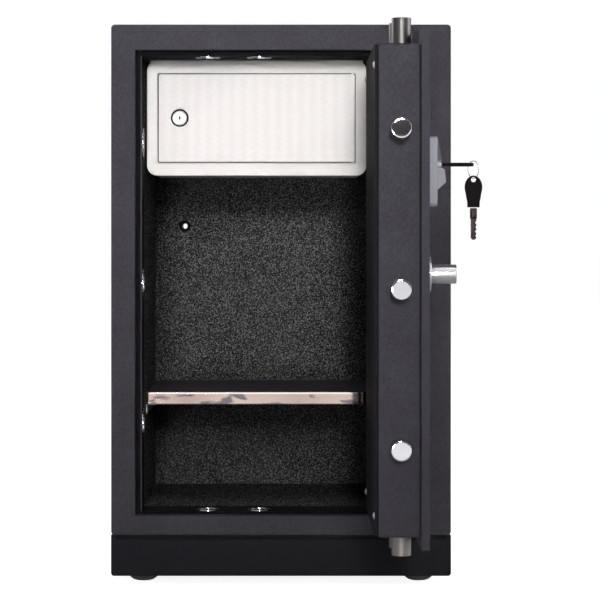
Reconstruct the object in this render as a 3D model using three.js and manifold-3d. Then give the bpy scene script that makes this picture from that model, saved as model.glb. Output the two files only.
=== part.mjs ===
// A burglary safe with its door standing open: steel cabinet on a plinth, lined inside,
// with a small lockable compartment, a shelf, and a bolt-work door on pivot pins.
// Millimetres. +X is right, +Y goes back into the cabinet, +Z is up.
// The origin is on the floor, under the middle of the plinth. Until a piece is added, y is
// counted from the cabinet's front and z from the plinth's underside.

import * as THREE from 'three';
import Module from 'manifold-3d';
import { mergeVertices } from 'three/addons/utils/BufferGeometryUtils.js';

const wasm = await Module();
wasm.setup();

// Shared clearances and facet counts

const gap = 0.3; // left between pieces that are cut by, or seated on, each other
const runningGap = 0.35; // radial, between a shaft or bolt and its hole
const overrun = 2; // how far a cutting tool runs past what it cuts
const snap = 0.001; // points this near an end plane lie on it
const boltSides = 24;
const strikeSides = 20;
const smallSides = 16;
const footSides = 20;
const softShare = 0.3; // how far a softened edge's middle lies from the corner, of the edge
const cornerSegments = 3;

// Cabinet

const cabinet = { width: 450, depth: 400, height: 730, corner: 5, wall: 3, edge: 2 };
const plinth = { height: 49.5, wall: 3, corner: 4 };
const groove = { height: 4.5, depth: 8, inset: 6.6 };
const foot = { radius: 19.7, height: 11, flatShare: 0.32, rimShare: 0.15, inset: 41, setback: 42 };
const frame = { thickness: 11, side: 32, top: 34, bottom: 26.3 };
const step = { width: 8, topWidth: 7, bottomWidth: 4, thickness: 3 };
const throat = { depth: 57.6, wall: 3 };
const tank = { wall: 2, lining: 2, setback: 44 };
const fill = { setback: 1.4 };
const grommet = { inset: 42.7, drop: 224, flange: 8.5, flangeThickness: 2, sleeve: 5.2, bore: 4, lip: 1.5 };
const seal = { width: 5, inset: 1.5, hingeGap: 3 };

// Door: "across" runs from the hinge pins to the free edge, "deep" from the outer face inwards

const plate = { thickness: 10, clearance: 1.5, edge: 1, corner: 1.5 };
const hinge = { inset: 24.1, deep: 5, pin: 3.5, intoPlate: 12, intoFrame: 22, collar: 5.5 };
const pocket = { clearance: 1.5 };
const box = {
  depth: 49.5, wall: 2.5, corner: 4, edge: 2.5,
  freeInset: 17, hingeInset: 30, bottomInset: 13, topInset: 17.5,
};
const cover = { thickness: 4, freeInset: 4.4, hingeInset: 57.6, endInset: 0.8, corner: 4, edge: 1 };

// Bolt work

const bolt = { radius: 11.75, chamfer: 1.5, thrown: 17 };
const throwLength = 30;
const sideBolt = { length: 52.4, deep: 34, middleDrop: 0.65, endInset: 118.75 };
const endBolt = {
  length: 80, deep: 28.5, outerInset: 94.1, pitch: 68.3, topExtra: 1.8, bottomExtra: 0.9,
};
const strike = { flange: 19, endFlange: 16.5, flangeThickness: 1.5, clearance: 0.9, wall: 2.2, depth: 27 };
const guide = { inset: 23.4, wall: 3, foot: 6, footThickness: 2.4, depth: 40, overhang: 22 };
const handle = { inset: 60, drop: 290.2, rosette: 21, rosetteThickness: 4.7, knob: 11.5, knobLength: 30.9 };
const knobShape = { dome: 0.8, midShare: 0.5, edge: 1.2, rosetteEdge: 1.1 };
const spindle = { radius: 6, square: 8 };
const cam = { deep: 13, thickness: 3, hub: 10, hubThickness: 2.5, rim: 6.8 };
const drivePin = { radius: 3, short: 5, long: 10, clearance: 0.8 };
const bar = { thickness: 4, layerGap: 0.5, eye: 5, web: 24.5, endWeb: 23.5 };
const sideBar = { leg: 16, wideLeg: 24, overhang: 20 };
const stem = { width: 22 };

// Lock in the door, and its keys

const lock = { drop: 159.5, plug: 6, barrel: 9, keywayHeight: 7.4, keywayWidth: 2.9 };
const lockBase = { width: 60, up: 32.6, down: 50, thickness: 11, corner: 5, edge: 1.5 };
const hood = { width: 50, top: 29, apexDrop: 22.5, apexRun: 4, foot: 31, rise: 11, edge: 1, hole: 8.2 };
const lockCase = { towardsHinge: 12.4, towardsEdge: 29.6, up: 38, down: 38, thickness: 10.2 };
const lever = { reach: 34, width: 12, hub: 7, notch: 27, notchDeep: 20 };
const bow = { length: 38.5, width: 21, neck: 11, thickness: 4.2, edge: 0.4, hole: 3.4, holeInset: 4.7,
  neckShare: 0.33, shoulderShare: 0.5 };
const collar = { length: 13, width: 8.2, thickness: 5.3 };
const blade = { length: 25, width: 6.6, thickness: 2.2, tip: 2, cutDepth: 1.2, cuts: 4,
  cutShares: [0.2, 0.45, 0.55, 0.8] };
const bowProud = 17.7; // from the door's outer face to the start of the bow
const ring = { radius: 10.4, wire: 0.8, turn: 58, drop: 8.3, reach: 7.25, sides: 6, steps: 28 };
const spareHang = 1.3; // from the ring's wire down to the middle of the spare key's hole

// Locker

const locker = { leftInset: 3, rightInset: 69, height: 157.1, setback: 6.4, wall: 1.5 };
const bezel = { thickness: 6, corner: 14.5, edge: 0.8, border: 16, bottomBorder: 19.1, lip: 4.5 };
const lockerDoor = {
  thickness: 11, skin: 1.2, gap: 1.3, edge: 0.6, corner: 2, rear: 1.5, hingeRear: 9,
};
const pintle = { inset: 3, setback: 2.6, radius: 1.5, length: 5 };
const lockerLock = { inset: 28.6, flange: 9.8, flangeThickness: 1.4, barrel: 8, plug: 6, rearProud: 2.1 };
const lockerPlug = { proud: 0.4, slotHeight: 5, slotWidth: 1.4, slotDepth: 3 };
const lockerCam = { reach: 36, width: 10, thickness: 2, behind: 4, roundShare: 0.95 };

// Shelf

const shelf = { rise: 136.1, thickness: 16.5, setback: 24.4, clearance: 1.5 };
const trim = { height: 16.6, depth: 3, lip: 12, wall: 1.5 };
const rail = { height: 14, width: 14, wall: 2, endInset: 14 };

// Places worked out from the sizes above

const half = cabinet.width / 2;
const bodyBottom = plinth.height + groove.height;
const open = {
  left: -half + frame.side,
  right: half - frame.side,
  bottom: bodyBottom + frame.bottom,
  top: cabinet.height - frame.top,
};
const inner = {
  left: open.left + step.width,
  right: open.right - step.width,
  bottom: open.bottom + step.bottomWidth,
  top: open.top - step.topWidth,
};
const throatEnd = frame.thickness + throat.depth;
const backFace = cabinet.depth - tank.setback; // the lining's face at the back
const steelBack = backFace + tank.lining;
const grommetX = inner.left + grommet.inset;
const grommetZ = inner.top - grommet.drop;
const shelfBottom = inner.bottom + shelf.rise;
const shelfFront = throatEnd + shelf.setback;

const pinX = open.right - hinge.inset;
const pinY = hinge.deep;
const faceX = pinX + hinge.deep; // the door's outer face, with the door open
const edgeAcross = pinX - open.left - plate.clearance;
const tail = open.right - plate.clearance - pinX;
const plateBottom = open.bottom + plate.clearance;
const plateTop = open.top - plate.clearance;
const boxBack = plate.thickness + box.depth;
const boxFree = edgeAcross - box.freeInset;
const boxHinge = box.hingeInset - tail;
const boxBottom = plateBottom + box.bottomInset;
const boxTop = plateTop - box.topInset;

const handleAcross = edgeAcross - handle.inset;
const handleZ = plateTop - handle.drop;
const lockZ = plateTop - lock.drop;
const middleZ = (plateBottom + plateTop) / 2 - sideBolt.middleDrop;
const sidePitch = (plateTop - plateBottom) / 2 - sideBolt.endInset;
const camReach = throwLength / (2 * Math.sin(Math.PI / 4)); // circle of the drive pins
const halfThrow = throwLength / 2;
const endLayer = cam.deep + cam.thickness + bar.layerGap; // depth of the top and bottom bars
const sideLayer = endLayer + bar.thickness + 2 * bar.layerGap;
const sideTip = edgeAcross + bolt.thrown;
const sideRoot = sideTip - sideBolt.length;
const endTip = {
  top: plateTop + bolt.thrown + endBolt.topExtra,
  bottom: plateBottom - bolt.thrown - endBolt.bottomExtra,
};

// Shapes

const materials = {
  paint: new THREE.MeshStandardMaterial({ color: 0x3f3d44, roughness: 0.5, metalness: 0.3 }),
  plinthPaint: new THREE.MeshStandardMaterial({ color: 0x242327, roughness: 0.55, metalness: 0.3 }),
  bareSteel: new THREE.MeshStandardMaterial({ color: 0x8d9094, roughness: 0.4, metalness: 0.9 }),
  chrome: new THREE.MeshStandardMaterial({ color: 0xd8d6d8, roughness: 0.12, metalness: 1 }),
  satinSteel: new THREE.MeshStandardMaterial({ color: 0xa9a6a8, roughness: 0.35, metalness: 0.9 }),
  silverPaint: new THREE.MeshStandardMaterial({ color: 0x9fa1a8, roughness: 0.4, metalness: 0.6 }),
  carpet: new THREE.MeshStandardMaterial({ color: 0x232323, roughness: 1, metalness: 0 }),
  blackTrim: new THREE.MeshStandardMaterial({ color: 0x0c0b0d, roughness: 0.6, metalness: 0 }),
  barrier: new THREE.MeshStandardMaterial({ color: 0x9a958c, roughness: 1, metalness: 0 }),
  whitePaint: new THREE.MeshStandardMaterial({ color: 0xf0efec, roughness: 0.35, metalness: 0.1 }),
  rubber: new THREE.MeshStandardMaterial({ color: 0x4c4845, roughness: 0.7, metalness: 0 }),
  keyPlastic: new THREE.MeshStandardMaterial({ color: 0x0b0b0d, roughness: 0.35, metalness: 0 }),
};

const safe = new THREE.Group();

function piece(name, solid, material) {
  const mesh = solid.translate([0, -cabinet.depth / 2, foot.height]).getMesh();
  const geometry = new THREE.BufferGeometry();
  const stride = mesh.numProp;
  const count = mesh.vertProperties.length / stride;
  const positions = new Float32Array(count * 3);
  for (let i = 0; i < count; i += 1) {
    positions.set(mesh.vertProperties.subarray(i * stride, i * stride + 3), i * 3);
  }
  geometry.setAttribute('position', new THREE.BufferAttribute(positions, 3));
  geometry.setIndex(new THREE.BufferAttribute(new Uint32Array(mesh.triVerts), 1));
  geometry.computeVertexNormals();
  const node = new THREE.Mesh(geometry, material);
  node.name = name;
  safe.add(node);
  return node;
}

function toSolid(geometry) {
  geometry.deleteAttribute('normal');
  geometry.deleteAttribute('uv');
  const merged = mergeVertices(geometry);
  return new wasm.Manifold(new wasm.Mesh({
    numProp: 3,
    vertProperties: new Float32Array(merged.attributes.position.array),
    triVerts: new Uint32Array(merged.index.array),
  }));
}

function block(x0, x1, y0, y1, z0, z1) {
  const geometry = new THREE.BoxGeometry();
  const middle = 0.5; // of a box one unit wide
  geometry.translate(middle, middle, middle);
  const size = new THREE.Matrix4().makeScale(x1 - x0, y1 - y0, z1 - z0).setPosition(x0, y0, z0);
  return toSolid(geometry.applyMatrix4(size));
}

// A drawn shape carried along an axis. Along x it is drawn in (y, z), along y in (x, z),
// along z in (x, y). Its ends are put exactly on the planes asked for.
function carry(shape, axis, from, to, edge = 0, { curve = cornerSegments, edgeSteps = 2 } = {}) {
  const length = to - from;
  const geometry = new THREE.ExtrudeGeometry(shape, {
    depth: length - 2 * edge,
    curveSegments: curve,
    bevelEnabled: edge > 0,
    bevelSize: edge,
    bevelOffset: -edge,
    bevelThickness: edge,
    bevelSegments: edgeSteps,
  });
  const position = geometry.attributes.position;
  for (let i = 0; i < position.count; i += 1) {
    const along = position.getZ(i) + edge;
    const atEnd = Math.abs(along - length) < snap;
    const place = atEnd ? to : from + (along < snap ? 0 : along);
    const [u, v] = [position.getX(i), position.getY(i)];
    if (axis === 'x') {
      position.setXYZ(i, place, u, v);
    } else if (axis === 'y') {
      position.setXYZ(i, u, from + to - place, v);
    } else {
      position.setXYZ(i, u, v, place);
    }
  }
  return toSolid(geometry);
}

// A profile of [radius, height] pairs turned round an axis through a point
function revolve(profile, axis, centre, sides) {
  const points = profile.map(([radius, height]) => new THREE.Vector2(radius, height));
  const geometry = new THREE.LatheGeometry(points, sides);
  if (axis === 'x') {
    geometry.rotateZ(-Math.PI / 2);
  } else if (axis === 'z') {
    geometry.rotateX(Math.PI / 2);
  }
  geometry.translate(...centre);
  return toSolid(geometry);
}

function rod(axis, centre, radius, from, to, sides = boltSides) {
  return revolve([[0, from], [radius, from], [radius, to], [0, to]], axis, centre, sides);
}

function pipe(axis, centre, outer, bore, from, to, sides = boltSides) {
  const hole = rod(axis, centre, bore, from - overrun, to + overrun, sides);
  return rod(axis, centre, outer, from, to, sides).subtract(hole);
}

function roundedRect(x0, x1, y0, y1, radius, path = new THREE.Shape()) {
  path.moveTo(x0 + radius, y0);
  path.lineTo(x1 - radius, y0);
  path.absarc(x1 - radius, y0 + radius, radius, -Math.PI / 2, 0, false);
  path.lineTo(x1, y1 - radius);
  path.absarc(x1 - radius, y1 - radius, radius, 0, Math.PI / 2, false);
  path.lineTo(x0 + radius, y1);
  path.absarc(x0 + radius, y1 - radius, radius, Math.PI / 2, Math.PI, false);
  path.lineTo(x0, y0 + radius);
  path.absarc(x0 + radius, y0 + radius, radius, Math.PI, Math.PI * 1.5, false);
  return path;
}

function polygon(points) {
  return new THREE.Shape(points.map(([u, v]) => new THREE.Vector2(u, v)));
}

function joined(solids) {
  return solids.reduce((whole, next) => whole.add(next));
}

function cutBy(solid, tools) {
  return tools.reduce((left, tool) => left.subtract(tool), solid);
}

// Cabinet pieces

const bodyOutline = () => roundedRect(-half, half, bodyBottom, cabinet.height, cabinet.corner);
const doorOpening = () => roundedRect(open.left, open.right, open.bottom, open.top, plate.corner,
  new THREE.Path());

function makeWrap() {
  const shape = bodyOutline();
  const wall = cabinet.wall;
  shape.holes.push(roundedRect(-half + wall, half - wall, bodyBottom + wall, cabinet.height - wall,
    cabinet.corner - wall, new THREE.Path()));
  piece('body_wrap', carry(shape, 'y', frame.thickness, cabinet.depth), materials.paint);
}

function makeBack() {
  const wall = cabinet.wall;
  const outline = roundedRect(-half + wall + gap, half - wall - gap, bodyBottom + wall + gap,
    cabinet.height - wall - gap, cabinet.corner - wall);
  const panel = carry(outline, 'y', cabinet.depth - wall, cabinet.depth);
  piece('back_panel', panel.subtract(grommetHole()), materials.paint);
}

function grommetHole() {
  return rod('y', [grommetX, 0, grommetZ], grommet.sleeve + gap, backFace - overrun,
    cabinet.depth + overrun, smallSides);
}

// The front frame is a flat ring with a step behind it for the seal, and a throat that the
// bolts reach through. On the hinge side the step is left out, so that the door's tail can
// swing in, and pockets are cut for it above and below.
function makeFrontFrame() {
  const ringShape = bodyOutline();
  ringShape.holes.push(doorOpening());
  const edge = cabinet.edge;
  const spare = edge + overrun;
  let solid = carry(ringShape, 'y', 0, frame.thickness + spare, edge);
  solid = solid.subtract(block(-cabinet.width, cabinet.width, frame.thickness, frame.thickness + 2 * spare,
    0, cabinet.height + overrun));

  const wall = throat.wall;
  const passage = block(inner.left, open.right, frame.thickness - overrun, throatEnd - wall,
    inner.bottom, inner.top);
  const mouth = block(inner.left, inner.right, throatEnd - 2 * wall, throatEnd + overrun,
    inner.bottom, inner.top);
  const sleeve = block(inner.left - wall, open.right + wall, frame.thickness, throatEnd,
    inner.bottom - wall, inner.top + wall);
  const stepRing = block(open.left - wall, open.right + wall, frame.thickness,
    frame.thickness + step.thickness, open.bottom - wall, open.top + wall);
  const lining = joined([sleeve, stepRing]).subtract(joined([passage, mouth]));
  solid = solid.add(lining);

  const reach = Math.hypot(tail, hinge.deep) + pocket.clearance;
  solid = solid.subtract(block(pinX - reach, open.right, frame.thickness, pinY + reach,
    open.bottom, open.top));
  const tools = [];
  for (const [low, high] of [[open.bottom - hinge.intoFrame - gap, open.bottom + overrun],
    [open.top - overrun, open.top + hinge.intoFrame + gap]]) {
    tools.push(rod('z', [pinX, pinY, 0], hinge.pin + gap, low, high, smallSides));
  }
  for (const place of sideStrikes()) {
    tools.push(rod('x', [0, place.y, place.z], strikeTube() + gap, inner.left - wall - overrun,
      inner.left + overrun));
  }
  for (const place of endStrikes()) {
    tools.push(rod('z', [place.x, place.y, 0], strikeTube() + gap, place.from, place.to));
  }
  piece('front_frame', cutBy(solid, tools), materials.paint);
}

function makeTank() {
  const wall = tank.wall + tank.lining;
  const shell = block(inner.left - wall, inner.right + wall, throatEnd, steelBack + tank.wall,
    inner.bottom - wall, inner.top + wall);
  const space = block(inner.left - tank.lining, inner.right + tank.lining, throatEnd - overrun, steelBack,
    inner.bottom - tank.lining, inner.top + tank.lining);
  piece('inner_tank', cutBy(shell, [space, grommetHole()]), materials.bareSteel);

  const outline = roundedRect(-half + cabinet.wall + gap, half - cabinet.wall - gap,
    bodyBottom + cabinet.wall, cabinet.height - cabinet.wall - gap, cabinet.corner - cabinet.wall);
  const around = carry(outline, 'y', throatEnd + fill.setback, cabinet.depth - cabinet.wall);
  const hollow = block(inner.left - wall - gap, inner.right + wall + gap, throatEnd - overrun,
    steelBack + tank.wall, inner.bottom - wall, inner.top + wall + gap);
  piece('barrier_fill', cutBy(around, [hollow, grommetHole()]), materials.barrier);
}

function makeLining() {
  const layer = tank.lining;
  const outside = block(inner.left - layer, inner.right + layer, throatEnd, backFace,
    inner.bottom - layer, inner.top + layer);
  const inside = block(inner.left, inner.right, throatEnd - overrun, backFace + overrun,
    inner.bottom, inner.top);
  piece('felt_wrap', outside.subtract(inside), materials.carpet);
  const back = block(inner.left - layer, inner.right + layer, backFace, steelBack,
    inner.bottom - layer, inner.top + layer);
  piece('felt_back', back.subtract(grommetHole()), materials.carpet);
}

function makeGrommet() {
  const { flange, flangeThickness, sleeve, bore, lip } = grommet;
  const back = cabinet.depth;
  const face = backFace - gap;
  piece('cable_grommet', revolve([
    [bore, face - flangeThickness],
    [flange - lip, face - flangeThickness],
    [flange, face - flangeThickness / 2],
    [flange, face],
    [sleeve, face],
    [sleeve, back],
    [bore, back],
    [bore, face - flangeThickness],
  ], 'y', [grommetX, 0, grommetZ], smallSides), materials.blackTrim);
}

// The plinth is an open-topped tray. A groove runs across its front, between its side walls.
function makePlinth() {
  const wall = plinth.wall;
  const outline = roundedRect(-half, half, 0, bodyBottom + plinth.corner, plinth.corner);
  const tray = carry(outline, 'y', 0, cabinet.depth);
  const above = block(-cabinet.width, cabinet.width, -overrun, cabinet.depth + overrun,
    bodyBottom, cabinet.height);
  const inside = block(-half + wall, half - wall, groove.depth + wall, cabinet.depth - wall,
    wall, cabinet.height);
  const slot = block(-half + groove.inset, half - groove.inset, -overrun, groove.depth,
    plinth.height, cabinet.height);
  const softened = polygon([
    [-overrun, plinth.height + overrun], [-overrun, plinth.height - cabinet.edge],
    [0, plinth.height - cabinet.edge],
    [cabinet.edge * softShare, plinth.height - cabinet.edge * softShare],
    [cabinet.edge, plinth.height], [cabinet.edge, plinth.height + overrun],
  ]);
  const chamfer = carry(softened, 'x', -half + groove.inset, half - groove.inset);
  piece('plinth', cutBy(tray, [above, inside, slot, chamfer]), materials.plinthPaint);
}

function makeFeet() {
  const { radius, height, flatShare, rimShare } = foot;
  const flat = radius * flatShare;
  const places = {
    foot_front_left: [-half + foot.inset, foot.setback],
    foot_front_right: [half - foot.inset, foot.setback],
    foot_back_left: [-half + foot.inset, cabinet.depth - foot.setback],
    foot_back_right: [half - foot.inset, cabinet.depth - foot.setback],
  };
  const profile = [[0, -height], [flat, -height]];
  const rings = 4;
  for (let i = 1; i <= rings; i += 1) {
    const angle = (i / rings) * Math.PI / 2;
    profile.push([flat + (radius - flat) * Math.sin(angle),
      -height * (rimShare + (1 - rimShare) * Math.cos(angle))]);
  }
  profile.push([radius, 0], [0, 0]);
  for (const [name, [x, y]] of Object.entries(places)) {
    piece(name, revolve(profile, 'z', [x, y, 0], footSides), materials.rubber);
  }
}

// Places of the strikes: the bolts' lines with the door shut

function strikeTube() {
  return bolt.radius + strike.clearance + strike.wall;
}

function sideStrikes() {
  return ['lower', 'middle', 'upper'].map((name, i) => ({
    name: `side_strike_${name}`,
    y: sideBolt.deep,
    z: middleZ + (i - 1) * sidePitch,
  }));
}

function endBoltPlaces() {
  return ['outer', 'inner'].map((name, i) => ({
    name,
    across: edgeAcross - endBolt.outerInset - i * endBolt.pitch,
  }));
}

function endStrikes() {
  const places = [];
  for (const { name, across } of endBoltPlaces()) {
    const common = { x: pinX - across, y: endBolt.deep };
    places.push({ ...common, name: `roof_strike_${name}`, face: inner.top, side: 1,
      from: inner.top - overrun, to: open.top + throat.wall + overrun });
    places.push({ ...common, name: `floor_strike_${name}`, face: inner.bottom, side: -1,
      from: open.bottom - throat.wall - overrun, to: inner.bottom + overrun });
  }
  return places;
}

// A strike is a short chromed tube with a flange that shows inside the throat
function strikeProfile(flange, face, side) {
  const tube = strikeTube();
  const bore = bolt.radius + strike.clearance;
  const profile = [
    [bore, face - side * strike.flangeThickness],
    [flange - strike.flangeThickness / 2, face - side * strike.flangeThickness],
    [flange, face - side * strike.flangeThickness / 2],
    [flange, face],
    [tube, face],
    [tube, face + side * strike.depth],
    [bore, face + side * strike.depth],
    [bore, face - side * strike.flangeThickness],
  ];
  return side > 0 ? profile : profile.reverse();
}

function makeStrikes() {
  for (const { name, y, z } of sideStrikes()) {
    piece(name, revolve(strikeProfile(strike.flange, inner.left, -1), 'x', [0, y, z], strikeSides),
      materials.chrome);
  }
  for (const { name, x, y, face, side } of endStrikes()) {
    piece(name, revolve(strikeProfile(strike.endFlange, face, side), 'z', [x, y, 0], strikeSides),
      materials.chrome);
  }
}

// A soft seal lies on the step, on the three sides that have one
function makeSeal() {
  const { width, inset, hingeGap } = seal;
  const front = plate.thickness + gap;
  const outer = block(open.left + inset, pinX - tail - hingeGap, front, frame.thickness,
    open.bottom + gap, open.top - inset);
  const within = block(open.left + inset + width, cabinet.width, front - overrun,
    frame.thickness + overrun, open.bottom + step.bottomWidth - gap, open.top - inset - width);
  return outer.subtract(within);
}

function makeHingePins() {
  const { pin, intoPlate, intoFrame, collar: shoulder } = hinge;
  const seat = open.bottom;
  const rest = plateBottom - gap / 2;
  piece('hinge_pin_bottom', revolve([
    [0, seat - intoFrame], [pin, seat - intoFrame], [pin, seat], [shoulder, seat],
    [shoulder, rest], [pin, rest], [pin, rest + intoPlate], [0, rest + intoPlate],
  ], 'z', [pinX, pinY, 0], smallSides), materials.bareSteel);
  piece('hinge_pin_top', revolve([
    [0, plateTop - intoPlate], [pin, plateTop - intoPlate], [pin, open.top + intoFrame],
    [0, open.top + intoFrame],
  ], 'z', [pinX, pinY, 0], smallSides), materials.bareSteel);
}

// Locker in the top of the cabinet

const lockerSpan = {
  left: inner.left + locker.leftInset,
  right: inner.right - locker.rightInset,
  bottom: inner.top - gap - locker.height,
  top: inner.top - gap,
};
const lockerFront = throatEnd + locker.setback;
const lockerOpen = {
  left: lockerSpan.left + bezel.border - lockerDoor.gap,
  right: lockerSpan.right - bezel.border + lockerDoor.gap,
  bottom: lockerSpan.bottom + bezel.bottomBorder - lockerDoor.gap,
  top: lockerSpan.top - bezel.bottomBorder + lockerDoor.gap,
};
const lockerPanel = {
  left: lockerOpen.left + lockerDoor.gap,
  right: lockerOpen.right - lockerDoor.gap,
  bottom: lockerOpen.bottom + lockerDoor.gap,
  top: lockerOpen.top - lockerDoor.gap,
};
const pintleX = lockerPanel.right - pintle.inset;
const pintleY = lockerFront + pintle.setback;
const lockerRear = lockerFront + bezel.thickness;

function makeLocker() {
  const shape = roundedRect(lockerSpan.left, lockerSpan.right, lockerSpan.bottom, lockerSpan.top,
    bezel.corner);
  shape.holes.push(roundedRect(lockerOpen.left, lockerOpen.right, lockerOpen.bottom, lockerOpen.top,
    lockerDoor.corner, new THREE.Path()));
  const ringSolid = carry(shape, 'y', lockerFront, lockerRear, bezel.edge);
  const pinHoles = rod('z', [pintleX, pintleY, 0], pintle.radius + gap / 2,
    lockerOpen.bottom - pintle.length, lockerOpen.top + pintle.length, smallSides);
  piece('locker_bezel', ringSolid.subtract(pinHoles), materials.whitePaint);

  const { wall } = locker;
  const lip = bezel.lip;
  const rear = backFace - gap;
  const outside = block(lockerSpan.left + lip, lockerSpan.right - lip, lockerRear, rear,
    lockerSpan.bottom + lip, lockerSpan.top);
  const inside = block(lockerSpan.left + lip + wall, lockerSpan.right - lip - wall, lockerRear - overrun,
    rear - wall, lockerSpan.bottom + lip + wall, lockerSpan.top - wall);
  piece('locker_box', outside.subtract(inside), materials.whitePaint);
}

function makeLockerDoor() {
  const { thickness, skin, corner, edge, rear, hingeRear } = lockerDoor;
  const shape = roundedRect(lockerPanel.left, lockerPanel.right, lockerPanel.bottom, lockerPanel.top,
    corner);
  const front = lockerFront;
  const panel = carry(shape, 'y', front, front + thickness, edge);
  const tray = block(lockerPanel.left + rear, lockerPanel.right - hingeRear, front + skin,
    front + thickness + overrun, lockerPanel.bottom + rear, lockerPanel.top - rear);
  const pins = rod('z', [pintleX, pintleY, 0], pintle.radius,
    lockerPanel.bottom - pintle.length, lockerPanel.top + pintle.length, smallSides);
  const lockHole = rod('y', lockerLockCentre(), lockerLock.barrel + gap, front - overrun,
    front + thickness + overrun);
  const boss = rod('y', lockerLockCentre(), lockerLock.flange + gap, front + skin / 2,
    front + thickness - gap);
  piece('locker_door', joined([panel.subtract(tray), pins, boss]).subtract(lockHole),
    materials.whitePaint);
}

function lockerLockCentre() {
  return [lockerPanel.left + lockerLock.inset, 0, (lockerPanel.bottom + lockerPanel.top) / 2];
}

function makeLockerLock() {
  const centre = lockerLockCentre();
  const { flange, flangeThickness, barrel, plug, rearProud } = lockerLock;
  const front = lockerFront;
  const rearFace = front + lockerDoor.thickness;
  const face = front - flangeThickness - gap;
  const bore = plug + gap;
  piece('locker_lock_barrel', revolve([
    [bore, face],
    [flange - flangeThickness, face],
    [flange, face + flangeThickness],
    [barrel, face + flangeThickness],
    [barrel, rearFace + rearProud],
    [bore, rearFace + rearProud],
    [bore, face],
  ], 'y', centre, boltSides), materials.chrome);

  const camFront = rearFace + lockerCam.behind;
  const body = rod('y', centre, plug, face - lockerPlug.proud, camFront, smallSides);
  const slot = block(centre[0] - lockerPlug.slotWidth / 2, centre[0] + lockerPlug.slotWidth / 2,
    face - overrun, face + lockerPlug.slotDepth, centre[2] - lockerPlug.slotHeight / 2,
    centre[2] + lockerPlug.slotHeight / 2);
  const round = lockerCam.width / 2;
  const arm = carry(roundedRect(centre[0] - round, centre[0] + round, centre[2] - lockerCam.reach,
    centre[2] + round, round * lockerCam.roundShare), 'y', camFront - gap, camFront + lockerCam.thickness);
  piece('locker_lock_plug', joined([body, arm]).subtract(slot), materials.satinSteel);
}

// Shelf on two side rails, with a chromed trim along its front edge

function makeShelf() {
  const left = inner.left + shelf.clearance;
  const right = inner.right - shelf.clearance;
  const top = shelfBottom + trim.height;
  const under = top - shelf.thickness;
  const back = backFace - shelf.clearance;
  const board = block(left, right, shelfFront + gap, back, under, top);
  const rebate = block(left - overrun, right + overrun, shelfFront - overrun,
    shelfFront + trim.lip + gap, top - trim.wall - gap, top + overrun);
  piece('shelf_board', board.subtract(rebate), materials.carpet);
  const front = shelfFront - trim.depth;
  const profile = polygon([
    [front, shelfBottom], [shelfFront, shelfBottom], [shelfFront, top - trim.wall],
    [shelfFront + trim.lip, top - trim.wall], [shelfFront + trim.lip, top], [front, top],
  ]);
  piece('shelf_trim', carry(profile, 'x', left, right), materials.chrome);
  for (const [name, wallX, side] of [['left', inner.left, 1], ['right', inner.right, -1]]) {
    const railTop = under;
    const section = [[wallX, railTop - rail.height], [wallX + side * rail.wall, railTop - rail.height],
      [wallX + side * rail.wall, railTop - rail.wall], [wallX + side * rail.width, railTop - rail.wall],
      [wallX + side * rail.width, railTop], [wallX, railTop]];
    const angle = carry(polygon(section), 'y', shelfFront + rail.endInset, back - rail.endInset);
    piece(`shelf_rail_${name}`, angle, materials.bareSteel);
  }
}

// Door pieces, drawn with the door standing open at a right angle

function doorX(deep) {
  return faceX - deep;
}

function doorY(across) {
  return pinY - across;
}

function doorBlock(across0, across1, deep0, deep1, z0, z1) {
  return block(doorX(deep1), doorX(deep0), doorY(across1), doorY(across0), z0, z1);
}

function doorSlab(across0, across1, deep0, deep1, z0, z1, corner, edge) {
  const shape = roundedRect(doorY(across1), doorY(across0), z0, z1, corner);
  return carry(shape, 'x', doorX(deep1), doorX(deep0), edge);
}

function throughDoor(across, z, radius, deep0, deep1, sides = boltSides) {
  return rod('x', [0, doorY(across), z], radius, doorX(deep1), doorX(deep0), sides);
}

function endBoltHoles(from, to) {
  return endBoltPlaces().map(({ across }) => rod('z', [doorX(endBolt.deep), doorY(across), 0],
    bolt.radius + runningGap, from, to));
}

function sideBoltHoles(acrossFrom, acrossTo) {
  return sideStrikes().map(({ z }) => rod('y', [doorX(sideBolt.deep), 0, z],
    bolt.radius + runningGap, doorY(acrossTo), doorY(acrossFrom)));
}

function makeDoorShell() {
  const slab = doorSlab(-tail, edgeAcross, 0, plate.thickness, plateBottom, plateTop,
    plate.corner, plate.edge);
  const tools = [
    throughDoor(handleAcross, handleZ, spindle.radius + runningGap, -overrun, plate.thickness + overrun),
    throughDoor(handleAcross, lockZ, lock.barrel + gap, -overrun, plate.thickness + overrun),
  ];
  const pinHole = hinge.pin + runningGap;
  const pinTop = plateBottom + hinge.intoPlate + gap;
  tools.push(rod('z', [pinX, pinY, 0], pinHole, plateBottom - overrun, pinTop, smallSides));
  tools.push(rod('z', [pinX, pinY, 0], pinHole, plateTop - hinge.intoPlate - gap, plateTop + overrun,
    smallSides));
  piece('door_plate', cutBy(slab, tools), materials.paint);

  const pan = doorSlab(boxHinge, boxFree, plate.thickness, boxBack, boxBottom, boxTop,
    box.corner, box.edge);
  const wall = box.wall;
  const hollow = doorBlock(boxHinge + wall, boxFree - wall, plate.thickness - overrun, boxBack - wall,
    boxBottom + wall, boxTop - wall);
  const holes = [
    ...sideBoltHoles(boxFree - 2 * wall, boxFree + overrun),
    ...endBoltHoles(boxTop - 2 * wall, boxTop + overrun),
    ...endBoltHoles(boxBottom - overrun, boxBottom + 2 * wall),
  ];
  piece('door_box', cutBy(pan, [hollow, ...holes]), materials.paint);

  piece('door_inner_cover', doorSlab(boxHinge + cover.hingeInset, boxFree - cover.freeInset, boxBack,
    boxBack + cover.thickness, boxBottom + cover.endInset, boxTop - cover.endInset, cover.corner,
    cover.edge), materials.blackTrim);
}

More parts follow.
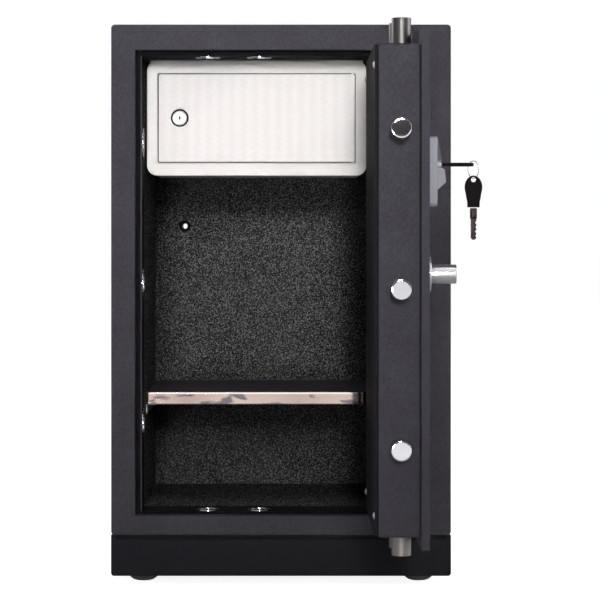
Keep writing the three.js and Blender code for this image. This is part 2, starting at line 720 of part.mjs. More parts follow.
// The side guide is an angle strip along the free edge with a hole for each side bolt
function makeGuide() {
  const outer = edgeAcross - guide.inset;
  const bottom = middleZ - sidePitch - guide.overhang;
  const top = middleZ + sidePitch + guide.overhang;
  const web = doorBlock(outer - guide.wall, outer, plate.thickness, plate.thickness + guide.depth,
    bottom, top);
  const flange = doorBlock(outer - guide.foot, outer, plate.thickness,
    plate.thickness + guide.footThickness, bottom, top);
  const holes = sideBoltHoles(outer - guide.wall - overrun, outer + overrun);
  piece('side_bolt_guide', cutBy(joined([web, flange]), holes), materials.bareSteel);
}

function makeHandle() {
  const { rosette, rosetteThickness, knob, knobLength } = handle;
  const centre = [faceX, doorY(handleAcross), handleZ];
  const hole = spindle.radius + runningGap;
  const { dome, midShare, edge, rosetteEdge } = knobShape;
  piece('handle_rosette', revolve([
    [hole, 0], [rosette, 0], [rosette, rosetteThickness - rosetteEdge],
    [rosette - rosetteEdge, rosetteThickness], [hole, rosetteThickness], [hole, 0],
  ], 'x', centre, boltSides), materials.satinSteel);

  const start = rosetteThickness + gap;
  const end = start + knobLength;
  piece('handle_knob', revolve([
    [0, start], [knob - edge, start], [knob, start + edge],
    [knob, end - dome - edge], [knob - edge * softShare, end - dome - edge * softShare],
    [knob - edge, end - dome], [knob * midShare, end - dome * midShare ** 2], [0, end],
  ], 'x', centre, boltSides), materials.satinSteel);

  const shaftEnd = cam.deep + cam.thickness;
  const round = throughDoor(handleAcross, handleZ, spindle.radius, -start, plate.thickness, smallSides);
  const side = spindle.square / 2;
  const square = doorBlock(handleAcross - side, handleAcross + side, plate.thickness - overrun, shaftEnd,
    handleZ - side, handleZ + side);
  piece('handle_shaft', joined([round, square]), materials.bareSteel);
}

// The cam disc turns with the handle. Its three drive pins stand a quarter turn apart: one
// drives the side bar, one the top bar and one the bottom bar.
const pinPlaces = {
  side: [handleAcross + halfThrow, handleZ + halfThrow],
  top: [handleAcross - halfThrow, handleZ + halfThrow],
  bottom: [handleAcross + halfThrow, handleZ - halfThrow],
};

function makeCam() {
  const disc = throughDoor(handleAcross, handleZ, camReach + cam.rim, cam.deep,
    cam.deep + cam.thickness);
  const hub = throughDoor(handleAcross, handleZ, cam.hub, cam.deep - cam.hubThickness,
    cam.deep + cam.thickness / 2);
  const socket = spindle.square / 2 + gap;
  const bore = doorBlock(handleAcross - socket, handleAcross + socket, plate.thickness,
    cam.deep + cam.thickness + overrun, handleZ - socket, handleZ + socket);
  const pins = Object.entries(pinPlaces).map(([name, [across, z]]) => throughDoor(across, z,
    drivePin.radius, cam.deep + cam.thickness / 2,
    cam.deep + cam.thickness + (name === 'side' ? drivePin.long : drivePin.short),
    smallSides));
  piece('bolt_cam', cutBy(joined([disc, hub, ...pins]), [bore]), materials.bareSteel);
}

function boltProfile(length) {
  const { radius, chamfer } = bolt;
  return [[0, 0], [radius, 0], [radius, length - chamfer], [radius - chamfer, length], [0, length]];
}

// The side bar is an angle: its web carries the three bolts and its leg has the cam's slot.
// Both are notched where the lock stands.
function makeSideBolts() {
  const bottom = middleZ - sidePitch - sideBar.overhang;
  const top = middleZ + sidePitch + sideBar.overhang;
  const thick = bar.thickness;
  const web = doorBlock(sideRoot - thick, sideRoot, sideLayer, sideLayer + bar.web, bottom, top);
  const leg = doorBlock(sideRoot - sideBar.leg, sideRoot, sideLayer, sideLayer + thick, bottom, top);
  const [, pinZ] = pinPlaces.side;
  const slotHalf = drivePin.radius + drivePin.clearance;
  const eye = doorBlock(sideRoot - sideBar.wideLeg, sideRoot, sideLayer, sideLayer + thick,
    pinZ - slotHalf - bar.eye, handleZ + camReach + slotHalf + bar.eye);
  const slot = doorBlock(pinPlaces.side[0] - slotHalf, pinPlaces.side[0] + slotHalf,
    sideLayer - overrun, sideLayer + thick + overrun, pinZ - slotHalf, handleZ + camReach + slotHalf);
  const notch = doorBlock(sideRoot - sideBar.wideLeg - overrun, sideRoot + overrun, sideLayer - overrun,
    plate.thickness + lever.notchDeep, lockZ - lever.notch, lockZ + lever.notch);
  piece('side_bolt_bar', cutBy(joined([web, leg, eye]), [slot, notch]), materials.bareSteel);
  for (const { name, z } of sideStrikes()) {
    const profile = boltProfile(sideBolt.length);
    const solid = revolve(profile.map(([r, h]) => [r, -h]).reverse(), 'y',
      [doorX(sideBolt.deep), doorY(sideRoot), z], boltSides);
    piece(name.replace('strike', 'bolt'), solid, materials.chrome);
  }
}

// The top and bottom bars each carry two bolts on a web and reach the cam by a flat stem
function makeEndBolts(name, side) {
  const tip = endTip[name];
  const root = tip - side * endBolt.length;
  const thick = bar.thickness;
  const [outer, inside] = endBoltPlaces();
  const [pinAcross, pinZ] = pinPlaces[name];
  const slotHalf = drivePin.radius + drivePin.clearance;
  const far = handleAcross - side * camReach; // where the pin is furthest from the hub
  const slotLow = Math.min(pinAcross, far) - slotHalf;
  const slotHigh = Math.max(pinAcross, far) + slotHalf;
  const eyeLow = slotLow - bar.eye;
  const eyeHigh = slotHigh + bar.eye;
  const stemLow = side > 0 ? pinAcross - slotHalf - stem.width : eyeHigh - stem.width - bar.eye / 2;
  const stemHigh = stemLow + stem.width;
  const [low, high] = [Math.min(root, pinZ), Math.max(root, pinZ)];
  const flat = doorBlock(stemLow, stemHigh, endLayer, endLayer + thick, low, high);
  const eye = doorBlock(Math.min(eyeLow, stemLow), Math.max(eyeHigh - bar.eye / 2, stemHigh), endLayer,
    endLayer + thick, pinZ - slotHalf - bar.eye, pinZ + slotHalf + bar.eye);
  const slot = doorBlock(slotLow, slotHigh, endLayer - overrun, endLayer + thick + overrun,
    pinZ - slotHalf, pinZ + slotHalf);
  const webFrom = Math.min(root, root - side * thick);
  const web = doorBlock(inside.across - bolt.radius, Math.max(outer.across + bolt.radius, stemHigh),
    endLayer, endLayer + bar.endWeb, webFrom, webFrom + thick);
  piece(`${name}_bolt_bar`, cutBy(joined([flat, eye, web]), [slot]), materials.bareSteel);
  for (const { name: place, across } of endBoltPlaces()) {
    const profile = boltProfile(endBolt.length);
    const points = side > 0 ? profile : profile.map(([r, h]) => [r, -h]).reverse();
    const solid = revolve(points, 'z', [doorX(endBolt.deep), doorY(across), root], boltSides);
    piece(`${name}_bolt_${place}`, solid, materials.chrome);
  }
}

// Lock: a base plate and a sloping hood outside, a barrel through the door, a case inside

const plugFace = bowProud - collar.length - gap; // outwards from the door's face

function makeLock() {
  const y = doorY(handleAcross);
  const axis = [0, y, lockZ];
  const { width, up, down, thickness, corner, edge } = lockBase;
  const shape = roundedRect(y - width / 2, y + width / 2, lockZ - down, lockZ + up, corner);
  const base = carry(shape, 'x', faceX, faceX + thickness, edge);
  const bore = rod('x', axis, hood.hole, faceX - overrun, faceX + thickness + hood.rise + overrun);
  piece('lock_base', base.subtract(rod('x', axis, lock.barrel + gap, faceX - overrun,
    faceX + thickness + overrun)), materials.silverPaint);

  const back = faceX + thickness;
  const profile = new THREE.Shape();
  profile.moveTo(back, lockZ + hood.top);
  profile.lineTo(back + hood.rise - hood.edge, lockZ - hood.apexDrop + hood.apexRun);
  profile.quadraticCurveTo(back + hood.rise, lockZ - hood.apexDrop,
    back + hood.rise - hood.edge, lockZ - hood.apexDrop - hood.edge);
  profile.lineTo(back, lockZ - hood.foot);
  const wedge = carry(profile, 'y', y - hood.width / 2, y + hood.width / 2, hood.edge / 2,
    { curve: 2, edgeSteps: 1 });
  piece('lock_hood', wedge.subtract(bore), materials.silverPaint);

  const sleeveFrom = faceX - plate.thickness - gap;
  piece('lock_barrel', pipe('x', axis, lock.barrel, lock.plug + gap, sleeveFrom, faceX + thickness - gap),
    materials.satinSteel);

  const insideFace = plate.thickness + 2 * gap;
  const caseBody = doorBlock(handleAcross - lockCase.towardsHinge, handleAcross + lockCase.towardsEdge,
    insideFace, insideFace + lockCase.thickness, lockZ - lockCase.down, lockZ + lockCase.up);
  piece('lock_case', caseBody.subtract(throughDoor(handleAcross, lockZ, lock.plug + gap,
    insideFace - overrun, insideFace + lockCase.thickness + overrun)), materials.bareSteel);

  const leverDeep = sideLayer;
  const plugSolid = rod('x', axis, lock.plug, doorX(leverDeep), faceX + plugFace, smallSides);
  const keyway = block(doorX(leverDeep) + gap, faceX + plugFace + overrun, y - lock.keywayHeight / 2,
    y + lock.keywayHeight / 2, lockZ - lock.keywayWidth / 2, lockZ + lock.keywayWidth / 2);
  const hub = throughDoor(handleAcross, lockZ, lever.hub, leverDeep, leverDeep + bar.thickness);
  const arm = doorBlock(handleAcross - lever.reach, handleAcross, leverDeep, leverDeep + bar.thickness,
    lockZ - lever.width / 2, lockZ + lever.width / 2);
  piece('lock_plug', joined([plugSolid.subtract(keyway), hub, arm]), materials.satinSteel);
}

// A key is drawn flat, its bow's hole end at the far end of the first axis

function bowShape() {
  const radius = bow.width / 2;
  const centre = bow.length - radius;
  const shape = new THREE.Shape();
  shape.moveTo(0, -bow.neck / 2);
  const [neckPull, shoulderPull] = [centre * bow.neckShare, centre * bow.shoulderShare];
  shape.bezierCurveTo(neckPull, -bow.neck / 2, shoulderPull, -radius, centre, -radius);
  shape.absarc(centre, 0, radius, -Math.PI / 2, Math.PI / 2, false);
  shape.bezierCurveTo(shoulderPull, radius, neckPull, bow.neck / 2, 0, bow.neck / 2);
  shape.closePath();
  const hole = new THREE.Path();
  hole.absarc(bow.length - bow.holeInset, 0, bow.hole, 0, Math.PI * 2, true);
  shape.holes.push(hole);
  return shape;
}

function bladeSolid() {
  const { length, width, thickness, tip, cutDepth, cuts, cutShares } = blade;
  const top = width / 2;
  const points = [[-collar.length, -top], [-collar.length, top]];
  const end = -collar.length - length;
  const span = length - tip * 2;
  const outline = [[end, -top + tip], [end, top - tip], [end + tip, top]];
  const pitch = span / cuts;
  for (let i = 0; i < cuts; i += 1) {
    const [a, b, c, d] = cutShares.map((share) => end + tip + (i + share) * pitch);
    outline.push([a, top], [b, top - cutDepth], [c, top - cutDepth], [d, top]);
  }
  const whole = polygon([...outline, ...points.reverse(), [end + tip, -top]]);
  const flat = carry(whole, 'z', -thickness / 2, thickness / 2);
  const shoulder = block(-collar.length, -gap, -collar.width / 2, collar.width / 2,
    -collar.thickness / 2, collar.thickness / 2);
  return flat.add(shoulder);
}

function makeKeys() {
  const y = doorY(handleAcross);
  const start = faceX + bowProud;
  const bowSolid = carry(bowShape(), 'z', -bow.thickness / 2, bow.thickness / 2, bow.edge,
    { curve: 6, edgeSteps: 1 });
  piece('key_bow', bowSolid.translate([start, y, lockZ]), materials.keyPlastic);
  piece('key_blade', bladeSolid().translate([start, y, lockZ]), materials.satinSteel);

  const angle = -ring.turn * Math.PI / 180;
  const holeAt = bow.length - bow.holeInset;
  const centre = [start + holeAt + ring.reach * Math.cos(angle), y + ring.reach * Math.sin(angle),
    lockZ + bow.thickness / 2 - ring.drop];
  const loop = new THREE.TorusGeometry(ring.radius, ring.wire, ring.sides, ring.steps);
  loop.rotateX(Math.PI / 2);
  loop.rotateZ(angle);
  loop.translate(...centre);
  piece('key_ring', toSolid(loop), materials.chrome);

  const upright = new THREE.Matrix4().makeBasis(new THREE.Vector3(0, 0, 1),
    new THREE.Vector3(1, 0, 0), new THREE.Vector3(0, 1, 0));
  upright.setPosition(centre[0], centre[1], centre[2] - ring.radius - spareHang - holeAt);
  const stand = (solid) => solid.transform(upright.toArray());
  piece('spare_key_bow', stand(bowSolid), materials.keyPlastic);
  piece('spare_key_blade', stand(bladeSolid()), materials.satinSteel);
}

makeWrap();
makeBack();
makeFrontFrame();
makeTank();
makeLining();
makeGrommet();
makePlinth();
makeFeet();
makeStrikes();
piece('door_seal', makeSeal(), materials.blackTrim);
makeHingePins();
makeLocker();
makeLockerDoor();
makeLockerLock();
makeShelf();
makeDoorShell();
makeGuide();
makeHandle();
makeCam();
makeSideBolts();
makeEndBolts('top', 1);
makeEndBolts('bottom', -1);
makeLock();
makeKeys();

export default safe;
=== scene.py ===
import math

import bmesh
import bpy
from mathutils import Matrix, Vector, noise


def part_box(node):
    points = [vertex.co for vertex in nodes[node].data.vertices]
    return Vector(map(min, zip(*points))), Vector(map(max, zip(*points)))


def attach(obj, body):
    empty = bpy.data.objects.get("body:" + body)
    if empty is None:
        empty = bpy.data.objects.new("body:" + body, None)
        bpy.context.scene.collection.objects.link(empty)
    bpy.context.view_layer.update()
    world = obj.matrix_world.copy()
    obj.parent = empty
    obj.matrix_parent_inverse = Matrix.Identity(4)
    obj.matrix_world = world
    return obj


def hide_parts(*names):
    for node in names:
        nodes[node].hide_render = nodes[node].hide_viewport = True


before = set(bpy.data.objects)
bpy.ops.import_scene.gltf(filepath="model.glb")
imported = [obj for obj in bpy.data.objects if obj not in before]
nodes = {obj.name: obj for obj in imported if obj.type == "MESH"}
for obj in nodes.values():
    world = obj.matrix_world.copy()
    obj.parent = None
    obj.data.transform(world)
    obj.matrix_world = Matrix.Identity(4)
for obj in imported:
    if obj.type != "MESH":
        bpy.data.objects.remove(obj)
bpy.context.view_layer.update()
scene = bpy.context.scene
MM = 0.001

# Camera

CAMERA_PLACE = (0, -3.215, 0.459)
FOCAL_LENGTH = 2278  # in picture elements
PICTURE = 600
HORIZON = 237.5
MIDDLE_LINE = 281
SENSOR = 36


def make_camera():
    data = bpy.data.cameras.new("camera")
    data.sensor_width = SENSOR
    data.lens = FOCAL_LENGTH * SENSOR / PICTURE
    data.shift_x = (PICTURE / 2 - MIDDLE_LINE) / PICTURE
    data.shift_y = (HORIZON - PICTURE / 2) / PICTURE
    camera = bpy.data.objects.new("camera", data)
    camera.location = CAMERA_PLACE
    camera.rotation_euler = (math.pi / 2, 0, 0)
    scene.collection.objects.link(camera)
    scene.camera = camera


make_camera()


def middle(node):
    low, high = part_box(node)
    return (Vector(low) + Vector(high)) / 2


# Node graphs

def linear(colour):
    """A colour written as three numbers from 0 to 255, as the four that a shader takes."""
    shares = [part / 255 for part in colour]
    return [s / 12.92 if s <= 0.04045 else ((s + 0.055) / 1.055) ** 2.4 for s in shares] + [1]


def toned(colour, change):
    """A colour made darker and lighter by a share."""
    base = linear(colour)[:3]
    return [part * (1 - change) for part in base] + [1], [min(1, part * (1 + change)) for part in base] + [1]


class Graph:
    """A material or world's nodes, made and joined in one line each."""

    def __init__(self, owner):
        owner.use_nodes = True
        self.owner = owner
        self.tree = owner.node_tree
        self.tree.nodes.clear()

    def node(self, kind, settings=None, **inputs):
        made = self.tree.nodes.new(kind)
        for key, value in (settings or {}).items():
            setattr(made, key, value)
        for key, value in inputs.items():
            self.put(made, key.replace("_", " "), value)
        return made

    def put(self, made, key, value):
        socket = made.inputs[int(key)] if key.isdigit() else made.inputs[key]
        if isinstance(value, bpy.types.NodeSocket):
            self.tree.links.new(value, socket)
        else:
            socket.default_value = value

    def math(self, operation, first, second=0.0):
        made = self.node("ShaderNodeMath", {"operation": operation})
        self.put(made, "0", first)
        self.put(made, "1", second)
        return made.outputs[0]

    def times(self, first, *others):
        for other in others:
            first = self.math("MULTIPLY", first, other)
        return first

    def most(self, first, *others):
        for other in others:
            first = self.math("MAXIMUM", first, other)
        return first

    def span(self, value, low, high, to_low=0.0, to_high=1.0, smooth=False):
        """Maps low and high to two other numbers, and stops at them."""
        made = self.node("ShaderNodeMapRange",
                         {"interpolation_type": "SMOOTHSTEP" if smooth else "LINEAR"}, Value=value)
        for key, number in (("From Min", low), ("From Max", high), ("To Min", to_low), ("To Max", to_high)):
            made.inputs[key].default_value = number
        return made.outputs["Result"]

    def mix(self, factor, first, second):
        made = self.node("ShaderNodeMix", {"data_type": "RGBA"})
        self.put(made, "0", factor)
        self.put(made, "6", first)
        self.put(made, "7", second)
        return made.outputs[2]

    def place(self, scale=(1, 1, 1)):
        source = self.node("ShaderNodeTexCoord").outputs["Object"]
        if scale == (1, 1, 1):
            return source
        return self.node("ShaderNodeMapping", Vector=source, Scale=scale).outputs[0]

    def parts(self, vector):
        """A vector's x, y and z."""
        return list(self.node("ShaderNodeSeparateXYZ", None, Vector=vector).outputs)

    def noise(self, scale, detail=2.0, rough=0.5, stretch=(1, 1, 1), distortion=0.0):
        return self.node("ShaderNodeTexNoise", Vector=self.place(stretch), Scale=scale, Detail=detail,
                         Roughness=rough, Distortion=distortion).outputs[0]

    def bump(self, height, distance, normal=None):
        made = self.node("ShaderNodeBump", Height=height, Distance=distance, Strength=1.0)
        if normal is not None:
            self.put(made, "Normal", normal)
        return made.outputs[0]


def material_graph(name):
    return Graph(bpy.data.materials.new(name))


def finish_material(graph, **inputs):
    """Ends a graph in one principled shader, and returns the material."""
    shader = graph.node("ShaderNodeBsdfPrincipled", None, **inputs)
    graph.node("ShaderNodeOutputMaterial", None, Surface=shader.outputs[0])
    return graph.owner


# Materials. A noise's cell is its scale: the larger the number, the finer the noise

WIDE = (0.3, 0.7)  # nearly all of a noise's values lie between these
NARROW = (0.35, 0.65)
BROAD_CELL = 26
FLECK_SHARE = 0.42
MOTTLE_REACH_SHARE = 1.6
GLOSS_SPREAD = 0.05


def painted(name, colour, roughness, grain=0.06 * MM, mottle=0.12, cell=900, level=0.35, patch=None):
    """Powder coat: a fine orange peel, and a slight change of tone over larger areas.

    Patch is a function that gives how much of another colour shows at a place, that colour, and the
    roughness that the coat has there at least."""
    graph = material_graph(name)
    peel = graph.noise(cell, 3)
    broad = graph.noise(BROAD_CELL, 4)
    fleck = graph.noise(cell * FLECK_SHARE, 2)
    shade = graph.math("ADD", graph.span(broad, *WIDE, -mottle / 2, mottle / 2),
                       graph.span(fleck, *WIDE, -mottle, mottle))
    reach = mottle * MOTTLE_REACH_SHARE
    tone = graph.mix(graph.span(shade, -reach, reach), *toned(colour, reach))
    rough = graph.span(peel, *WIDE, roughness - GLOSS_SPREAD, roughness + GLOSS_SPREAD)
    if patch:
        cover, other, dull = patch
        share = cover(graph)
        tone = graph.mix(share, tone, linear(other))
        rough = graph.most(rough, graph.times(share, dull))
    return finish_material(graph, Base_Color=tone, Roughness=rough, Specular_IOR_Level=level,
                           Normal=graph.bump(peel, grain))


METAL_CELL = 35


def metal(name, colour, roughness, stretch, cell, spread, scratch, tone):
    """Bare or plated metal: stretched fine marks in its gloss, tone and surface."""
    graph = material_graph(name)
    marks = graph.noise(cell, 3, 0.6, stretch)
    shade = graph.times(graph.math("ADD", marks, graph.noise(METAL_CELL, 2)), 0.5)
    return finish_material(
        graph, Base_Color=graph.mix(graph.span(shade, *NARROW), *toned(colour, tone)), Metallic=1.0,
        Roughness=graph.span(marks, *WIDE, roughness - spread, roughness + spread),
        Normal=graph.bump(marks, scratch))


FIBRE_DARK = (44, 44, 45)
FIBRE_LIGHT = (58, 57, 58)
FLECK = (163, 160, 158)
PILE_ROOT = (15, 15, 17)
# the colour of the painted shade on the lining
PILE_PAINTED_SHADE = (10, 10, 11)
FIBRE_CELL = 1100
FLECK_CELL = 520
TUFT_CELL = 900
TUFT_SHARE = 0.6
CARPET_CELL = 22
FLECK_BAND = (0.5, 0.6)  # of the noise, from no fleck to a full one
ROOT_BAND = (0.54, 0.4)
FACING_BAND = (0.9, 0.3)  # of the face's y, from upright to lying
LAID_STRETCH = (1, 0.45, 1)
# Painted shade on the lining's back, and a painted shadow of the door beside it: how far each fades in, and
# how dark it gets
LEFT_FADE, LEFT_PAINTED_SHADE = 55 * MM, 0.55
RIGHT_FADE, DOOR_PAINTED_SHADOW = (114 * MM, 68 * MM), 0.7
SHELF_FADE, SHELF_PAINTED_SHADE = 45 * MM, 0.3
PILE_BUMP = 0.9 * MM


def carpet_material():
    """Short-pile charcoal lining: dark fibres with scattered lighter flecks.

    On the floor, roof and sides the pile lies flat and its flecks are drawn out. Shade is painted on the
    back: it is darker at its left edge and above the shelf, and the whole lining beside the door carries a
    painted shadow of the door."""
    graph = material_graph("carpet_pile")
    _, facing, _ = graph.parts(graph.node("ShaderNodeNewGeometry").outputs["Normal"])
    lying = graph.span(graph.math("ABSOLUTE", facing), *FACING_BAND)
    upright = graph.math("SUBTRACT", 1.0, lying)
    fleck = graph.math("ADD", graph.times(graph.noise(FLECK_CELL, 3, 0.75), upright),
                       graph.times(graph.noise(FLECK_CELL, 3, 0.75, LAID_STRETCH), lying))
    fibre = graph.mix(graph.span(graph.noise(CARPET_CELL, 3), *NARROW), linear(FIBRE_DARK),
                      linear(FIBRE_LIGHT))
    pile = graph.noise(FIBRE_CELL, 3, 0.65)
    tone = graph.mix(graph.span(fleck, *FLECK_BAND), fibre, linear(FLECK))
    tone = graph.mix(graph.span(pile, *ROOT_BAND), tone, linear(PILE_ROOT))
    x, _, z = graph.parts(graph.place())
    low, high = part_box("felt_back")
    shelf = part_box("shelf_board")[1][2]
    # Painted shade: darker at the back's left edge and above the shelf, and a painted shadow of the door
    # beside it
    left = graph.span(x, low[0], low[0] + LEFT_FADE, LEFT_PAINTED_SHADE, 0, True)
    right = graph.span(x, high[0] - RIGHT_FADE[0], high[0] - RIGHT_FADE[1], 0, DOOR_PAINTED_SHADOW, True)
    above_shelf = graph.span(z, shelf, shelf + SHELF_FADE, SHELF_PAINTED_SHADE, 0, True)
    shade = graph.most(graph.times(graph.most(left, above_shelf), upright), right)
    tuft = graph.node("ShaderNodeTexVoronoi", None, Vector=graph.place(), Scale=TUFT_CELL)
    height = graph.math("ADD", pile, graph.times(tuft.outputs["Distance"], TUFT_SHARE))
    return finish_material(graph, Base_Color=graph.mix(shade, tone, linear(PILE_PAINTED_SHADE)), Roughness=0.95,
                           Specular_IOR_Level=0.05, Normal=graph.bump(height, PILE_BUMP))


TRIM_DARK = (176, 155, 146)
TRIM_LIGHT = (206, 186, 176)
# colours of the trim's painted reflections, painted highlight and painted shadow
TRIM_PAINTED_REFLECTION = (88, 84, 98)
TRIM_PAINTED_HIGHLIGHT = (240, 232, 228)
TRIM_PAINTED_SHADE = (96, 80, 78)
CLOUD_CELL = 21
CLOUD_STRETCH = (1, 1, 2.6)
CLOUD_SWIRL = 0.6
CLOUD_BAND = (0.56, 0.64)
CLOUD_SHARE = 0.8
TRIM_CELL = 9
HIGHLIGHT_BAND = (0.82, 0.9)  # shares of the edge's height, from none to full
FOOT_SHADE_BAND = (0.1, 0.04)


def trim_material():
    """The shelf's chromed edge with painted light: a painted highlight line at its top, a painted shadow
    line at its foot, and painted reflections clouding it between.
    """
    graph = material_graph("trim_chrome")
    low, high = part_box("shelf_trim")
    height = graph.span(graph.parts(graph.place())[2], low[2], high[2])
    cloud = graph.noise(CLOUD_CELL, 2, 0.5, CLOUD_STRETCH, CLOUD_SWIRL)
    tone = graph.mix(graph.span(graph.noise(TRIM_CELL, 1), *NARROW), linear(TRIM_DARK), linear(TRIM_LIGHT))
    # Painted reflections cloud the chrome; a painted highlight lines its top and a painted shadow its foot
    tone = graph.mix(graph.span(cloud, *CLOUD_BAND, 0, CLOUD_SHARE), tone, linear(TRIM_PAINTED_REFLECTION))
    tone = graph.mix(graph.span(height, *HIGHLIGHT_BAND), tone, linear(TRIM_PAINTED_HIGHLIGHT))
    tone = graph.mix(graph.span(height, *FOOT_SHADE_BAND), tone, linear(TRIM_PAINTED_SHADE))
    return finish_material(graph, Base_Color=tone, Metallic=1.0,
                           Roughness=graph.span(cloud, *WIDE, 0.035, 0.05))


WAVE_COLUMNS = 17
WAVE_LENGTH = 8.5 * MM
WAVE_SWING = 1.6 * MM
WAVE_BUMP = 0.06 * MM
ENAMEL_CELL = 800
ENAMEL_BUMP = 0.04 * MM
ENAMEL_DARK = (240, 236, 234)
ENAMEL_LIGHT = (245, 241, 239)


def wave_material():
    """White enamel on sheet steel that is pressed in upright wavy ribs."""
    graph = material_graph("wave_enamel")
    low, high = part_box("locker_door")
    x, _, z = graph.parts(graph.place())
    bend = graph.times(graph.math("SINE", graph.times(z, math.tau / WAVE_LENGTH)), WAVE_SWING)
    along = graph.times(graph.math("ADD", x, bend), math.tau * WAVE_COLUMNS / (high[0] - low[0]))
    rib = graph.times(graph.math("SINE", along), 0.5)
    peel = graph.noise(ENAMEL_CELL, 2)
    tone = graph.mix(graph.span(graph.math("ADD", rib, peel), 0.0, 1.1), linear(ENAMEL_DARK),
                     linear(ENAMEL_LIGHT))
    return finish_material(graph, Base_Color=tone, Roughness=0.45, Specular_IOR_Level=0.15,
                           Normal=graph.bump(rib, WAVE_BUMP, graph.bump(peel, ENAMEL_BUMP)))


FRAME_STEP = -189.8 * MM  # behind this y the frame's inside is black, but for a grey line on the step's lip
STEP_LIP = (-188.2 * MM, -184.6 * MM)  # that lip on the left, from and to in x
LIP_DEPTH = 2.3 * MM
LIP_FADE = 0.4 * MM
STEP_FADE = 0.5 * MM


def frame_inside(graph):
    """How much of the frame's black inside shows at a place."""
    x, y, _ = graph.parts(graph.place())
    lip_end = FRAME_STEP + LIP_DEPTH
    lip = graph.times(graph.span(x, STEP_LIP[0] - LIP_FADE, STEP_LIP[0]),
                      graph.span(x, STEP_LIP[1] + LIP_FADE, STEP_LIP[1]),
                      graph.span(y, lip_end + STEP_FADE, lip_end))
    return graph.times(graph.span(y, FRAME_STEP, FRAME_STEP + STEP_FADE), graph.math("SUBTRACT", 1.0, lip))


FLANK_DEPTH = (0.9 * MM, 0.5 * MM)  # how far in from the hood's side it starts, and is full
FLANK_FADE = 1 * MM


def hood_flank_shade(graph):
    """How much a place is on a flank of the lock hood's upper wedge, where painted shade makes it
    darker than the face.
    """
    _, y, z = graph.parts(graph.place())
    low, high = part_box("lock_hood")
    half, key = (high[1] - low[1]) / 2, middle("key_blade").z
    beside = graph.math("ABSOLUTE", graph.math("SUBTRACT", y, (low[1] + high[1]) / 2))
    return graph.times(graph.span(beside, half - FLANK_DEPTH[0], half - FLANK_DEPTH[1]),
                       graph.span(z, key - FLANK_FADE, key + FLANK_FADE))


COAT = (60, 58, 65)
COAT_GRAIN = 0.08 * MM
COAT_MOTTLE = 0.2
COAT_GLOSS = 0.6
COAT_LEVEL = 0.12
EVEN = (1, 1, 1)
MATERIALS = {
    "paint": painted("paint_coat", COAT, COAT_GLOSS, COAT_GRAIN, COAT_MOTTLE, level=COAT_LEVEL),
    "plinth_paint": painted("plinth_coat", (26, 24, 29), 0.6, COAT_GRAIN, COAT_MOTTLE, level=0.1),
    "bare_steel": metal("zinc_plate", (176, 177, 180), 0.36, EVEN, 260, 0.08, 0.02 * MM, 0.14),
    "chrome": metal("chrome_plate", (214, 213, 217), 0.035, EVEN, 900, 0.01, 0.002 * MM, 0.03),
    "satin_steel": metal("satin_metal", (188, 186, 190), 0.27, (14, 1, 1), 500, 0.06, 0.008 * MM, 0.05),
    "silver_paint": painted("silver_coat", (143, 142, 151), 0.45, 0.03 * MM, 0.08, 1300, 0.15),
    "white_paint": painted("white_enamel", (243, 239, 236), 0.42, 0.04 * MM, 0.02, 800, 0.15),
    "carpet": carpet_material(),
    "shelf_paint": painted("shelf_coat", (46, 44, 50), 0.5),
    "black_trim": painted("black_plastic", (15, 14, 17), 0.7, 0.05 * MM, 0.15, 700, 0.06),
    "barrier": painted("barrier_cast", (128, 125, 120), 0.8, 0.3 * MM, 0.2, 240, 0.3),
    "rubber": painted("foot_rubber", (108, 101, 95), 0.7, 0.1 * MM, 0.25, 420, 0.15),
    "key_plastic": painted("key_moulding", (17, 13, 16), 0.6, 0.02 * MM, 0.15, 1500, 0.05),
}
LOCK_FACE = metal("lock_face", (206, 204, 203), 0.5, EVEN, 900, 0.05, 0.01 * MM, 0.03)
# The hood's coat, with painted shade on the flanks of its upper wedge
HOOD_COAT = painted("hood_coat", (140, 139, 148), 0.45, 0.03 * MM, 0.08, 1300, 0.15,
                    (hood_flank_shade, (81, 79, 87), 0))
# The upright bolts are satin: the top ones are nearest the light, so their tone is the lower
TOP_BOLT = metal("top_bolt_steel", (90, 88, 87), 0.42, (8, 8, 1), 500, 0.05, 0.004 * MM, 0.12)
BOTTOM_BOLT = metal("bottom_bolt_steel", (146, 139, 135), 0.42, (8, 8, 1), 500, 0.05, 0.004 * MM, 0.12)
# Painted reflection: the blades and the spare key's collar are made dark for the dark room they reflect
BLADE_METAL = metal("blade_metal", (54, 45, 45), 0.3, EVEN, 900, 0.08, 0.01 * MM, 0.2)
OWN_MATERIALS = {  # of the nodes that look other than their slot's material
    "front_frame": painted("frame_coat", COAT, COAT_GLOSS, COAT_GRAIN, COAT_MOTTLE, level=COAT_LEVEL,
                           patch=(frame_inside, (13, 12, 15), 0.95)),
    "body_wrap": painted("wrap_coat", COAT, 0.85, COAT_GRAIN, COAT_MOTTLE, level=0.02),
    "locker_door": wave_material(),
    "shelf_trim": trim_material(),
    "locker_lock_plug": LOCK_FACE,
    "door_inner_cover": painted("cover_coat", (31, 29, 33), 0.65, level=0.06),
    "lock_case": metal("case_plate", (150, 150, 152), 0.4, EVEN, 260, 0.08, 0.02 * MM, 0.14),
}

# Building pieces

SHARP = math.radians(32)
TINY = 1e-6
NEARLY_STRAIGHT = 0.02  # corners this close to straight aren't rounded, in radians
HALF_SIDE = 0.48  # the share of a side that the rounding of one corner may take
SAME_PLACE = 0.005 * MM
WIRE_STEPS = 4
CUTTER_EDGE = 0.1 * MM


def link(name, mesh):
    piece = bpy.data.objects.new(name, mesh)
    scene.collection.objects.link(piece)
    return piece


def smooth(mesh):
    mesh.polygons.foreach_set("use_smooth", [True] * len(mesh.polygons))
    mesh.set_sharp_from_angle(angle=SHARP)
    mesh.update()


